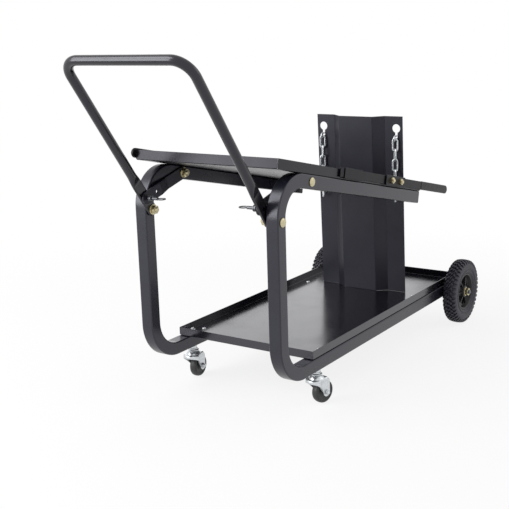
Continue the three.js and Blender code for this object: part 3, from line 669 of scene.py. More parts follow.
bm = bmesh.new()
half = handle_half()
mirror = [[Vector((-p.x, p.y, p.z)) for p in ring] for ring in reversed(half)]
skin(bm, half + mirror, caps=True)
holes = bmesh.new()
for side in (-1, 1):
    at = Matrix.Translation((side * LEG_X, 0, LOCK_REACH))
    turned(holes, [(0, -8), (LOCK_HOLE, -8), (LOCK_HOLE, 8), (0, 8)], 32, at)
bmesh.ops.recalc_face_normals(holes, faces=holes.faces)
hole_mesh = bpy.data.meshes.new("lock_holes")
holes.to_mesh(hole_mesh)
holes.free()
drill = pattern("lock_holes", hole_mesh)
handle_mesh = worked(bm, ("BOOLEAN", {"object": drill, "operation": "DIFFERENCE", "solver": "EXACT"}))
drop(drill)
handle_mesh.transform(Matrix.Translation(PIVOT) @ Matrix.Rotation(HANDLE_LEAN, 4, "X"))
piece("push_handle", handle_mesh, tube_coat, "handle", sharp=32)

# Struts
# Cranked flat bars that run from the sloping rails to the lock pin of each handle leg, punched,
# with round ends and eased edges, powder coated like the frame.
def from_node(node):
    """A node's mesh as a drawing, with its triangles merged into faces."""
    bm = bmesh.new()
    bm.from_mesh(frame["nodes"][node].data)
    bm.transform(DRAWING.inverted())
    bmesh.ops.remove_doubles(bm, verts=bm.verts, dist=0.005)
    bmesh.ops.dissolve_limit(bm, angle_limit=math.radians(1.5), verts=bm.verts, edges=bm.edges)
    return bm


for name, side in SIDES:
    piece(f"brace_{name}", worked(from_node(f"strut_{name}"), bevel(0.6)), plate_paint, f"strut_{name}")

# Carriage bolts and nuts
# Yellow-zinc M10 bolts with domed heads, through the tube from outside, each with a washer and
# a hexagon nut on the inside; the thread shows past the nut.
BOLT = 5
BOLT_HEAD = 10
BOLT_DOME = 4.5
NUT_ACROSS = 17
NUT_HIGH = 8
WASHER = 12
WASHER_SHEET = 2
BOLT_TAIL = 4
SEAT_GAP = 0.3
THREAD = 1.5
RAIL_BOLT_Y = 133
PIVOT_SEAT = 149.7
RAIL_SEAT = 151.7

# Yellow chromated zinc: a gold passivated film over bright plating, with rainbow patches of
# rose and green about 5 mm across where the film is thicker.
yellow_zinc, tree, shader, place = new_finish("yellow_chromate_zinc", Metallic=1.0)
film = add(tree, "ShaderNodeTexNoise", {"Vector": place, "Scale": 1 / 0.005, "Detail": 3.0}).outputs["Fac"]
tint(tree, film, shader.inputs["Base Color"],
     (0.25, "#b3a482"), (0.42, "#cdc2a0"), (0.58, "#bfb998"), (0.75, "#bba884"))
vary(tree, film, shader.inputs["Roughness"], 0.26, 0.4)
relief(tree, film, shader, 0.00003, 0.3)


def hex_rings(across, height, bore, start, steps=72):
    """A chamfered hexagon nut along X, from its start."""
    flat = across / 2
    easing = 0.96 * flat
    slant = math.tan(math.radians(30))
    turns = [2 * math.pi * i / steps for i in range(steps)]
    edge = [flat / math.cos((a + math.pi / 6) % (math.pi / 3) - math.pi / 6) for a in turns]
    rings = [(bore + 0.7, 0), (easing, 0), (None, 0), (None, height), (easing, height),
             (bore + 0.7, height), (bore, height - 0.7), (bore, 0.7)]
    points = []
    for radius, x in rings:
        ring = []
        for a, far in zip(turns, edge):
            r = far if radius is None else radius
            fall = (far - easing) * slant if radius is None else 0
            place = x + fall if x == 0 else x - fall
            ring.append(Vector((start + place, r * math.cos(a), r * math.sin(a))))
        points.append(ring)
    return points


def thread(radius, start, end):
    """The zigzag outline of a thread between two places."""
    turns = round(abs(end - start) / THREAD)
    outline = []
    for i in range(turns):
        for part, depth in ((0.05, 0.55), (0.4, 0), (0.6, 0), (0.95, 0.55)):
            outline.append((radius - depth, start + (end - start) * (i + part) / turns))
    return outline


def domed_bolt(inner):
    """A carriage bolt from the tube's outer face inwards, on the right of the cart."""
    bm = bmesh.new()
    out = HALF_WIDTH + SEAT_GAP
    dome = [(0, out + BOLT_DOME)]
    for i in range(1, 10):
        a = math.pi / 2 * i / 10
        dome.append((BOLT_HEAD * math.sin(a), out + 0.7 + (BOLT_DOME - 0.7) * math.cos(a)))
    shank = [(BOLT_HEAD, out + 0.7), (BOLT_HEAD - 0.4, out), (BOLT, out), (BOLT, inner + BOLT_TAIL + NUT_HIGH)]
    tail = thread(BOLT, inner + BOLT_TAIL + NUT_HIGH, inner + 0.8)
    turned(bm, [*dome, *shank, *tail, (BOLT - 1, inner), (0, inner)])
    return bm


def washered_nut(seat, across, bore):
    """A washer and a nut inwards from a seat, on the right of the cart."""
    bm = bmesh.new()
    face = seat - SEAT_GAP
    back = face - WASHER_SHEET
    ring = [(bore + 0.3, face), (WASHER - 0.3, face), (WASHER, face - 0.3), (WASHER, back + 0.5),
            (WASHER - 0.5, back), (bore + 0.3, back)]
    turned(bm, ring, 40, loop=True)
    skin(bm, hex_rings(across, NUT_HIGH, bore + 0.05, back - NUT_HIGH), loop=True)
    return bm


rail_bolt_z = TOP_CORNER - RAIL_BOLT_Y * math.tan(SLOPE) - TUBE / 2 / math.cos(SLOPE)
stack = SEAT_GAP + WASHER_SHEET + NUT_HIGH + BOLT_TAIL
for name, side in SIDES:
    flip = Matrix.Diagonal((side, 1, 1, 1))
    joints = (("pivot", PIVOT.y, PIVOT.z, PIVOT_SEAT, 0.35), ("rail", RAIL_BOLT_Y, rail_bolt_z, RAIL_SEAT, 0.9))
    for spot, y, z, seat, spin in joints:
        at = Matrix.Translation((0, y, z)) @ flip @ Matrix.Rotation(spin, 4, "X")
        for kind, bm in (("bolt", domed_bolt(seat - stack)), ("nut", washered_nut(seat, NUT_ACROSS, BOLT))):
            bm.transform(at)
            piece(f"{spot}_{kind}_{name}_plated", worked(bm), yellow_zinc, f"{spot}_{kind}_{name}", sharp=28)

# Lock pins
# Turned pins with a collar and a split wire ring to pull them by, zinc plated. They are drawn
# back flush with the struts, so that the handle can fold.
PIN = 3.5
PIN_TIP = 149.4
PIN_LONG = 34
COLLAR = 7
COLLAR_FACE = 139.1
RING = 9
RING_WIRE = 1.25

# Oxide-blacked steel: dark bare metal with an oily sheen, a little uneven over 3 mm.
black_oxide, tree, shader, place = new_finish("oxide_blacked_steel", Metallic=1.0)
oil = add(tree, "ShaderNodeTexNoise", {"Vector": place, "Scale": 1 / 0.003, "Detail": 2.0}).outputs["Fac"]
tint(tree, oil, shader.inputs["Base Color"], (0.3, "#55565a"), (0.7, "#6b6c70"))
vary(tree, oil, shader.inputs["Roughness"], 0.3, 0.42)
relief(tree, oil, shader, 0.00003, 0.3)

lock_y = PIVOT.y - LOCK_REACH * math.sin(HANDLE_LEAN)
lock_z = PIVOT.z + LOCK_REACH * math.cos(HANDLE_LEAN)


def pull_pin():
    """A lock pin with its collar and ring, on the right of the cart."""
    bm = bmesh.new()
    end = PIN_TIP - PIN_LONG
    back = COLLAR_FACE - COLLAR
    outline = [(0, PIN_TIP), (PIN - 0.8, PIN_TIP), (PIN, PIN_TIP - 0.8), (PIN, COLLAR_FACE),
               (COLLAR - 0.6, COLLAR_FACE), (COLLAR, COLLAR_FACE - 0.6), (COLLAR, COLLAR_FACE - 2.6),
               (COLLAR - 0.8, COLLAR_FACE - 3.0), (COLLAR - 0.8, COLLAR_FACE - 4.0), (COLLAR, COLLAR_FACE - 4.4),
               (COLLAR, back + 0.6), (COLLAR - 0.6, back), (PIN, back), (PIN, end + 0.8), (PIN - 0.8, end), (0, end)]
    turned(bm, outline)
    centre = Vector((end - (RING - RING_WIRE / 2), 0, 0))
    rings = []
    for i in range(48):
        turn = 2 * math.pi * i / 48
        out = Vector((math.cos(turn), math.sin(turn), 0))
        loop = [2 * math.pi * k / 12 for k in range(12)]
        rings.append([centre + out * (RING + RING_WIRE * math.cos(a)) + Vector((0, 0, RING_WIRE * math.sin(a)))
                      for a in loop])
    skin(bm, rings, loop=True)
    return bm


for name, side in SIDES:
    bm = pull_pin()
    bm.transform(Matrix.Translation((0, lock_y, lock_z)) @ Matrix.Diagonal((side, 1, 1, 1)))
    piece(f"pull_pin_{name}", worked(bm), black_oxide, f"lock_pin_{name}", sharp=28)

# Cable arms
# Flat bars with round tips that lie along the top tray's sides and stick out at opposite ends
# to wind leads on: an open channel holds the inner end and a clamp plate with two bolts the middle.
ARM_LONG = 590
ARM_HIGH = 20
ARM_SHEET = 4
ARM_INNER = 183.3
ARM_RISE = 15
ARM_TIP = {"left": -3.1, "right": 845.7}
DIP_LONG = 165
DIP_WALL = 0.7
CLAMP_FROM_TIP = 268
CLAMP_LONG = 102
CLAMP_SHEET = 3
CLAMP_NUT = 13

# Dipped vinyl: a soft PVC skin on the arm's free end, darker and smoother than the coat, with
# slow runs 12 mm long from the dipping.
arm_paint = powder_coat("flat_black_powder_coat", "#08080c", "#0d0d12", 1.25, 0.32, 0.2)
vinyl, tree, shader, place = new_finish("dipped_black_vinyl", IOR=1.3)
runs = add(tree, "ShaderNodeTexNoise", {"Vector": place, "Scale": 1 / 0.012, "Detail": 2.0}).outputs["Fac"]
tint(tree, runs, shader.inputs["Base Color"], (0.3, "#08080c"), (0.7, "#0c0c11"))
vary(tree, runs, shader.inputs["Roughness"], 0.3, 0.4)
relief(tree, runs, shader, 0.0002, 0.3)


def arm_matrix(name, side):
    """From the arm's own drawing, with its tip at the origin and its length along -Y, to the cart."""
    turn = Matrix.Rotation(0 if side > 0 else math.pi, 4, "Z")
    return ON_SLOPE @ Matrix.Translation((side * ARM_INNER, ARM_TIP[name], ARM_RISE)) @ turn


def dip():
    """The vinyl skin over the arm's round tip."""
    bm = bmesh.new()
    rings = []
    for back, full in [(DIP_LONG, 0.15), (DIP_LONG - 0.6, 0.7), (DIP_LONG - 2.5, 1.0)]:
        rings.append((back, full))
    grown_by = [(b, f * DIP_WALL) for b, f in rings]
    high = ARM_HIGH / 2
    outline = []
    for b, wall in grown_by:
        outline.append((-b, high + wall, wall))
    for i in range(13):
        turn = math.pi / 2 * i / 12
        outline.append((-high + (high + DIP_WALL) * math.sin(turn), (high + DIP_WALL) * math.cos(turn), DIP_WALL))
    sections = []
    for y, half, wall in outline:
        half = max(half, 0.4)
        thick = ARM_SHEET / 2 + wall
        corner = min(1.3, thick, half)
        ring = []
        for quarter in range(4):
            sx = (1, -1, -1, 1)[quarter]
            sz = (1, 1, -1, -1)[quarter]
            for i in range(4):
                a = math.pi / 2 * (quarter + i / 3)
                ring.append(Vector((ARM_SHEET / 2 + sx * (thick - corner) + corner * math.cos(a), y,
                                    sz * (half - corner) + corner * math.sin(a))))
        sections.append(ring)
    skin(bm, sections, caps=True)
    return bm


for name, side in SIDES:
    piece(f"arm_bar_{name}", worked(from_node(f"cable_arm_{name}"), bevel(0.5)), arm_paint, f"cable_arm_{name}")
    piece(f"arm_channel_{name}", worked(from_node(f"arm_sleeve_{name}"), bevel(0.4)), arm_paint,
          f"arm_sleeve_{name}")
    piece(f"clamp_plate_{name}", worked(from_node(f"arm_clamp_{name}"), bevel(0.5)), arm_paint, f"arm_clamp_{name}")
    bm = dip()
    bm.transform(arm_matrix(name, side))
    piece(f"arm_dip_{name}", worked(bm), vinyl, body="cart", slot="frame_paint")
    bm = bmesh.new()
    for along in (0.27, 0.73):
        at = Matrix.Translation((0, -CLAMP_FROM_TIP - CLAMP_LONG * along, 0))
        face = ARM_SHEET + SEAT_GAP + CLAMP_SHEET
        nut = hex_rings(CLAMP_NUT, 6, 4.05, face)
        skin(bm, [[at @ p for p in ring] for ring in nut], loop=True)
        turned(bm, [(4, face - 1), *thread(4, face - 1, face + 8.5), (3.2, face + 9), (0, face + 9)], 32, at)
    bm.transform(arm_matrix(name, side))
    piece(f"clamp_nuts_{name}", worked(bm), yellow_zinc, body="cart", slot="yellow_zinc", sharp=28)

# Chains
# Short lengths of welded steel chain, zinc plated, one through each keyhole: a link edge-on in
# the slot, a link behind that stops it, and six links that hang in front and swing.
WIRE = 4.5
LINK_LONG = 36
LINK_WIDE = 17
LINK_DROP = 26.7
LINK_SLACK = 0.8
FIRST_TURN = math.radians(15)
LINK_TURN = math.radians(-50)

chain_tree, sockets = new_tree("chain_run", Count="Int", Wire="Float", Long="Float", Wide="Float", Drop="Float",
                               Slack="Float", First_turn="Float", Turn="Float", Material="Material")
inner_wide = add(chain_tree, "ShaderNodeMath", {0: sockets["Wide"], 1: sockets["Wire"]}, operation="SUBTRACT")
inner_long = add(chain_tree, "ShaderNodeMath", {0: sockets["Long"], 1: sockets["Wire"]}, operation="SUBTRACT")
half_wide = add(chain_tree, "ShaderNodeMath", {0: inner_wide.outputs[0], 1: 0.5}, operation="MULTIPLY")
half_wire = add(chain_tree, "ShaderNodeMath", {0: sockets["Wire"], 1: 0.5}, operation="MULTIPLY")
loop = add(chain_tree, "GeometryNodeCurvePrimitiveQuadrilateral",
           {"Width": inner_wide.outputs[0], "Height": inner_long.outputs[0]})
bow = add(chain_tree, "GeometryNodeFilletCurve",
          {"Curve": loop.outputs["Curve"], "Count": 7, "Radius": half_wide.outputs[0], "Limit Radius": True},
          mode="POLY")
section = add(chain_tree, "GeometryNodeCurvePrimitiveCircle", {"Resolution": 12, "Radius": half_wire.outputs[0]})
bar = add(chain_tree, "GeometryNodeCurveToMesh",
          {"Curve": bow.outputs["Curve"], "Profile Curve": section.outputs["Curve"]})
bead_size = add(chain_tree, "ShaderNodeMath", {0: half_wire.outputs[0], 1: 1.16}, operation="MULTIPLY")
bead = add(chain_tree, "GeometryNodeMeshUVSphere", {"Segments": 14, "Rings": 8, "Radius": bead_size.outputs[0]})
bead_at = add(chain_tree, "ShaderNodeCombineXYZ", {"X": half_wide.outputs[0]})
weld = add(chain_tree, "GeometryNodeTransform",
           {"Geometry": bead.outputs["Mesh"], "Translation": bead_at.outputs["Vector"], "Scale": (1, 0.8, 1)})
link = add(chain_tree, "GeometryNodeJoinGeometry", {"Geometry": bar.outputs["Mesh"]})
chain_tree.links.new(weld.outputs["Geometry"], link.inputs["Geometry"])
upright = add(chain_tree, "GeometryNodeTransform",
              {"Geometry": link.outputs["Geometry"], "Rotation": (math.pi / 2, 0, 0)})
step_down = add(chain_tree, "ShaderNodeMath", {0: sockets["Drop"], 1: -1.0}, operation="MULTIPLY")
step_vector = add(chain_tree, "ShaderNodeCombineXYZ", {"Z": step_down.outputs[0]})
run = add(chain_tree, "GeometryNodeMeshLine", {"Count": sockets["Count"], "Offset": step_vector.outputs["Vector"]})
index = add(chain_tree, "GeometryNodeInputIndex").outputs["Index"]
later = add(chain_tree, "FunctionNodeCompare", {"A": index, "B": 0.5}, data_type="FLOAT", operation="GREATER_THAN")
lift = add(chain_tree, "ShaderNodeCombineXYZ", {"Z": sockets["Slack"]})
raised = add(chain_tree, "GeometryNodeSetPosition",
             {"Geometry": run.outputs["Mesh"], "Selection": later.outputs["Result"], "Offset": lift.outputs["Vector"]})
odd = add(chain_tree, "ShaderNodeMath", {0: index, 1: 2.0}, operation="MODULO")
even = add(chain_tree, "ShaderNodeMath", {0: 1.0, 1: odd.outputs[0]}, operation="SUBTRACT")
crossed = add(chain_tree, "ShaderNodeMath", {0: even.outputs[0], 1: math.pi / 2, 2: sockets["Turn"]},
              operation="MULTIPLY_ADD")
facing = add(chain_tree, "GeometryNodeSwitch",
             {"Switch": later.outputs["Result"], "False": sockets["First turn"], "True": crossed.outputs[0]},
             input_type="FLOAT")
yawed = add(chain_tree, "ShaderNodeCombineXYZ", {"Z": facing.outputs["Output"]})
hung = add(chain_tree, "GeometryNodeInstanceOnPoints",
           {"Points": raised.outputs["Geometry"], "Instance": upright.outputs["Geometry"],
            "Rotation": yawed.outputs["Vector"]})
end_tree(chain_tree, hung.outputs["Instances"], sockets["Material"])


def middle(node):
    """The middle of a node's box, in the drawing."""
    low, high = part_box(node)
    return DRAWING.inverted() @ ((low + high) / 2)


def links(count, first_turn):
    """Links hung from the origin."""
    return grown(chain_tree, Count=count, Wire=WIRE, Long=float(LINK_LONG), Wide=float(LINK_WIDE), Drop=LINK_DROP,
                 Slack=LINK_SLACK, First_turn=first_turn, Turn=LINK_TURN, Material=bright_zinc)


for name, side in SIDES:
    anchor = links(1, 0.0)
    anchor.transform(Matrix.Translation(middle(f"chain_anchor_{name}"))
                     @ Matrix.Rotation(math.pi / 2, 4, "X") @ Matrix.Rotation(math.pi / 2, 4, "Z"))
    piece(f"slot_link_{name}", anchor, bright_zinc, f"chain_anchor_{name}", sharp=60)
    stop = links(1, 0.0)
    stop.transform(Matrix.Translation(middle(f"chain_stop_{name}")))
    piece(f"stop_link_{name}", stop, bright_zinc, f"chain_stop_{name}", sharp=60)
    tail = links(6, FIRST_TURN)
    tail.transform(Matrix.Translation(middle(f"chain_link_{name}_1")))
    piece(f"hanging_chain_{name}", tail, bright_zinc, *(f"chain_link_{name}_{i}" for i in range(1, 7)), sharp=60)

# Rear axle and hub nuts
# A plain steel bar at the underside of the rails, held in a plate welded to each, zinc plated
# and threaded at its ends for a washer and a yellow-zinc nut at each hub.
AXLE = 6
AXLE_HALF = 236
AXLE_Y = 888
WHEEL = 88
WHEEL_X = 208
HUB_FACE = 222
HUB_NUT = 19
AXLE_PLATE = 4
axle = bmesh.new()
ends = thread(AXLE, HUB_FACE - 2, AXLE_HALF - 1)
bar = [(AXLE, HUB_FACE - 2), *ends, (AXLE - 1, AXLE_HALF), (0, AXLE_HALF)]
turned(axle, [(r, -x) for r, x in reversed(bar)] + bar, 40, Matrix.Translation((0, AXLE_Y, WHEEL)))
piece("axle_bar", worked(axle), black_oxide, "axle", sharp=28)
plates = bmesh.new()
outline = [(18, 12), (-18, 12)]
for i in range(13):
    turn = math.pi + math.pi * i / 12
    outline.append((18 * math.cos(turn), 14 * math.sin(turn)))
for side in (-1, 1):
    faces = [side * (HALF_WIDTH - TUBE), side * (HALF_WIDTH - TUBE - AXLE_PLATE)]
    skin(plates, [[Vector((x, AXLE_Y + u, WHEEL + v)) for u, v in outline] for x in faces], caps=True)
piece("axle_plates", worked(plates, bevel(0.6)), tube_paint, body="cart", slot="frame_paint")
for name, side in SIDES:
    bm = washered_nut(-HUB_FACE, HUB_NUT, AXLE)
    bm.transform(Matrix.Translation((0, AXLE_Y, WHEEL)) @ Matrix.Diagonal((-side, 1, 1, 1)))
    piece(f"hub_nut_{name}", worked(bm), yellow_zinc, f"axle_nut_{name}", sharp=28)

# Rear rims
# Moulded black polypropylene: a barrel that holds the tyre, a long hub, and a deep web pierced
# between six spokes, each stiffened by a rib.
RIM = 49.7
RIM_HALF = 14
BARREL = 44.5
HUB = 16
WEB_HALF = 3
SPOKES = 6
SPOKE_HALF = 3.2
RIB_HALF = 1.6

# Polypropylene, moulded with a satin grain about 1.5 mm across; it scuffs a little paler.
rim_plastic, tree, shader, place = new_finish("moulded_black_polypropylene", IOR=1.49)
grain = add(tree, "ShaderNodeTexNoise", {"Vector": place, "Scale": 1 / 0.0015, "Detail": 2.0}).outputs["Fac"]
scuff = add(tree, "ShaderNodeTexNoise", {"Vector": place, "Scale": 1 / 0.020, "Detail": 4.0}).outputs["Fac"]
tint(tree, scuff, shader.inputs["Base Color"], (0.35, "#131315"), (0.75, "#1c1c1f"))
vary(tree, scuff, shader.inputs["Roughness"], 0.36, 0.48)
relief(tree, grain, shader, 0.00008, 0.4)

ring_tree, sockets = new_tree("ring_of_parts", Part="Object", Count="Int", Start="Float", Material="Material")
part = add(ring_tree, "GeometryNodeObjectInfo", {"Object": sockets["Part"]}).outputs["Geometry"]
spots = add(ring_tree, "GeometryNodeMeshLine", {"Count": sockets["Count"], "Offset": (0, 0, 0)}).outputs["Mesh"]
index = add(ring_tree, "GeometryNodeInputIndex").outputs["Index"]
shifted = add(ring_tree, "ShaderNodeMath", {0: index, 1: sockets["Start"]}, operation="ADD").outputs[0]
share = add(ring_tree, "ShaderNodeMath", {0: 2 * math.pi, 1: sockets["Count"]}, operation="DIVIDE").outputs[0]
angle = add(ring_tree, "ShaderNodeMath", {0: shifted, 1: share}, operation="MULTIPLY").outputs[0]
facing = add(ring_tree, "ShaderNodeCombineXYZ", {"X": angle}).outputs["Vector"]
copies = add(ring_tree, "GeometryNodeInstanceOnPoints", {"Points": spots, "Instance": part, "Rotation": facing})
end_tree(ring_tree, copies.outputs["Instances"], sockets["Material"])


def ring_of(mesh, count, start, material):
    """Copies of a part set round the wheel's axis; the part is drawn at the top."""
    part = pattern("part", mesh)
    made = grown(ring_tree, Part=part, Count=count, Start=float(start), Material=material)
    drop(part)
    return made


def joined_mesh(*meshes):
    """Several meshes as one."""
    bm = bmesh.new()
    for mesh in meshes:
        bm.from_mesh(mesh)
    whole = bpy.data.meshes.new("joined")
    bm.to_mesh(whole)
    bm.free()
    return whole


def rim_window():
    """The gap between two spokes, with round corners, cut right through."""
    low, high = HUB + 4, BARREL - 3
    bm = bmesh.new()
    outline = []
    for i in range(48):
        turn = 2 * math.pi * i / 48
        u = math.copysign(abs(math.cos(turn)) ** 0.35, math.cos(turn))
        v = math.copysign(abs(math.sin(turn)) ** 0.35, math.sin(turn))
        radius = (low + high) / 2 + (high - low) / 2 * u
        swing = v * (math.pi / SPOKES - math.asin(SPOKE_HALF / radius))
        outline.append((radius * math.sin(swing), radius * math.cos(swing)))
    skin(bm, [[Vector((x, y, z)) for y, z in outline] for x in (-10, 10)], caps=True)
    return worked(bm)


def spoke_rib():
    """The rib on the outside of a spoke, low at the barrel and high at the hub."""
    bm = bmesh.new()
    rings = []
    for z, rise in ((HUB - 1, 8.0), (24, 6.2), (34, 4.2), (BARREL + 1, 3.6)):
        rings.append([Vector((x, y, z)) for x, y in
                      ((WEB_HALF - 1, -RIB_HALF - 0.4), (WEB_HALF - 1, RIB_HALF + 0.4),
                       (WEB_HALF + rise, RIB_HALF), (WEB_HALF + rise, -RIB_HALF))])
    skin(bm, rings, caps=True)
    return worked(bm, bevel(0.7))


def rim_body():
    """The barrel, web and hub as one turned moulding, pierced between the spokes."""
    inner = -(WHEEL_X - HALF_WIDTH - 1)
    corners = [(AXLE + 0.3, inner), (HUB - 3, inner), (HUB, -WEB_HALF - 4), (HUB + 2.5, -WEB_HALF),
               (BARREL - 1.5, -WEB_HALF), (BARREL, -RIM_HALF + 1), (BARREL + 1.2, -RIM_HALF), (RIM - 0.8, -RIM_HALF),
               (RIM, -RIM_HALF + 0.8), (RIM, RIM_HALF - 0.8), (RIM - 0.8, RIM_HALF), (BARREL + 1.6, RIM_HALF),
               (BARREL + 0.6, RIM_HALF - 1), (BARREL - 1.5, WEB_HALF + 1.5), (BARREL - 3, WEB_HALF),
               (HUB + 2.5, WEB_HALF), (HUB, WEB_HALF + 3), (HUB - 0.6, RIM_HALF - 1), (HUB - 1.6, RIM_HALF),
               (11, RIM_HALF), (10, RIM_HALF - 1.2), (8, RIM_HALF - 1.2), (7.6, RIM_HALF), (AXLE + 0.3, RIM_HALF)]
    bm = bmesh.new()
    turned(bm, corners, 96, loop=True)
    gaps = pattern("gaps", ring_of(rim_window(), SPOKES, 0, rim_plastic))
    made = worked(bm, ("BOOLEAN", {"object": gaps, "operation": "DIFFERENCE", "solver": "EXACT"}), bevel(0.5, 2, 50))
    drop(gaps)
    return joined_mesh(made, ring_of(spoke_rib(), SPOKES, 0.5, rim_plastic))


def at_wheel(side):
    """From a wheel's own drawing, with its outer face at +X, to its place on the axle."""
    return Matrix.Translation((side * WHEEL_X, AXLE_Y, WHEEL)) @ Matrix.Rotation(0 if side > 0 else math.pi, 4, "Z")


for name, side in SIDES:
    rim_mesh = rim_body()
    rim_mesh.transform(at_wheel(side))
    piece(f"spoked_rim_{name}", rim_mesh, rim_plastic, f"rim_{name}")

# Rear tyres
# Moulded rubber on the rims: stepped bead rings on a flat sidewall, and a tread of small chunky
# blocks in five staggered rows, the outer ones running over the shoulders.
BLOCKS = 42

# Tyre rubber: matt carbon black that is slightly grey with mould release, in patches 25 mm
# across, with a fine moulded texture about 1 mm across.
rubber, tree, shader, place = new_finish("moulded_tyre_rubber", IOR=1.52)
bloom = add(tree, "ShaderNodeTexNoise", {"Vector": place, "Scale": 1 / 0.025, "Detail": 4.0}).outputs["Fac"]
grain = add(tree, "ShaderNodeTexNoise", {"Vector": place, "Scale": 1 / 0.001, "Detail": 2.0}).outputs["Fac"]
tint(tree, bloom, shader.inputs["Base Color"], (0.3, "#22212b"), (0.7, "#2d2c38"))
vary(tree, bloom, shader.inputs["Roughness"], 0.5, 0.62)
relief(tree, grain, shader, 0.0001, 0.5)


def tread_block(profile, length, lean):
    """A block drawn across the tread in width and radius, leaning along it."""
    bm = bmesh.new()
    rings = []
    for way in (-1, 1):
        ring = []
        for x, r in profile:
            taper = 1 - 0.05 * max(r - 83, 0)
            ring.append(Vector((x, way * length / 2 * taper + (x - profile[0][0]) * lean, r)))
        rings.append(ring)
    skin(bm, rings, caps=True)
    return worked(bm, bevel(0.4, 1))


def tyre_body():
    """The tyre's carcass without its blocks."""
    side = [(50, 13.6), (51.5, 14.6), (53.5, 15.8), (55, 17.2), (57.2, 17.6), (58.4, 17), (59.2, 15.9), (61.5, 15.7),
            (63, 16.4), (64.4, 17.9), (66, 18.3), (72, 18.4), (75.4, 18.1), (77, 17.4), (79.2, 16), (81.4, 13.4),
            (82.4, 9), (82.8, 0)]
    outline = side + [(r, -x) for r, x in reversed(side[:-1])]
    bm = bmesh.new()
    turned(bm, outline, 96, loop=True)
    return worked(bm)


shoulder = [(11, 79), (11, 87), (14.4, 86.4), (16.8, 84.4), (18, 81), (18.4, 77.5), (15, 76)]
middle_row = [(3.8, 80), (3.8, 87.9), (7, 87.7), (10.2, 87.2), (10.2, 80)]
crown = [(-2.8, 80), (-2.8, 87.9), (0, 88), (2.8, 87.9), (2.8, 80)]
for name, side in SIDES:
    parts = [tyre_body(), ring_of(tread_block(crown, 6.4, 0.7), BLOCKS, 0.25, rubber)]
    for way, start in ((1, 0.0), (-1, 0.5)):
        for profile, length, lean, shift in ((shoulder, 7.2, 0.1, 0.0), (middle_row, 7.4, -0.5, 0.35)):
            row = ring_of(tread_block(profile, length, lean), BLOCKS, start + shift, rubber)
            row.transform(Matrix.Diagonal((way, 1, 1, 1)))
            if way < 0:
                row.flip_normals()
            parts.append(row)
    tyre_mesh = joined_mesh(*parts)
    tyre_mesh.transform(at_wheel(side))
    piece(f"block_tyre_{name}", tyre_mesh, rubber, f"tyre_{name}", sharp=40)

# Swivel casters
# Zinc-plated pressed forks that turn on a ball race under the rails, each with a bolted wheel
# of dark rubber. The head is round, and its skirt draws in at the back to two flat legs.
CASTER_Y = 164
CASTER_TURN = {"left": math.radians(6), "right": math.radians(-13)}
CASTER = 27
TRAIL = 18
FORK_TOP = 62
FORK_UNDER = 58.5
FORK_SHEET = 2.5
FORK_HEAD = 25
FORK_LEG = 13.8
FORK_SKIRT = 54
FORK_FOLD = 3
FOOT_ROUND = 10
STEM_NUT = 13

# Thermoplastic rubber: smooth dark grey wheel with a soft sheen and faint wear 6 mm across.
caster_rubber, tree, shader, place = new_finish("moulded_caster_rubber", IOR=1.5)
wear = add(tree, "ShaderNodeTexNoise", {"Vector": place, "Scale": 1 / 0.006, "Detail": 3.0}).outputs["Fac"]
tint(tree, wear, shader.inputs["Base Color"], (0.3, "#232424"), (0.7, "#2e2f2f"))
vary(tree, wear, shader.inputs["Roughness"], 0.42, 0.55)
relief(tree, wear, shader, 0.00008, 0.4)


def fork_bottom(y):
    """The height of the fork's lower edge, from the nose down to the round foot of the leg."""
    foot = TRAIL - FOOT_ROUND
    if y > foot:
        return CASTER - math.sqrt(max(0, FOOT_ROUND ** 2 - (y - TRAIL) ** 2))
    part = max(0, (y + FORK_HEAD) / (foot + FORK_HEAD))
    return FORK_SKIRT - (FORK_SKIRT - CASTER) * part ** 1.8


def fork_plan():
    """The fork seen from above, from the left leg round the nose to the right leg."""
    half = []
    for i in range(13):
        turn = math.radians(58) * i / 12
        half.append((FORK_HEAD * math.sin(turn), -FORK_HEAD * math.cos(turn)))
    wide, start = half[-1]
    for i in range(1, 13):
        part = i / 12
        ease = part * part * (3 - 2 * part)
        half.append((wide + (FORK_LEG - wide) * ease, start + (7 - start) * part))
    foot = [TRAIL - FOOT_ROUND * math.cos(math.pi * i / 16) for i in range(17)]
    half += [(FORK_LEG, y) for y in foot]
    return [Vector((-x, y)) for x, y in reversed(half[1:])] + [Vector(spot) for spot in half]


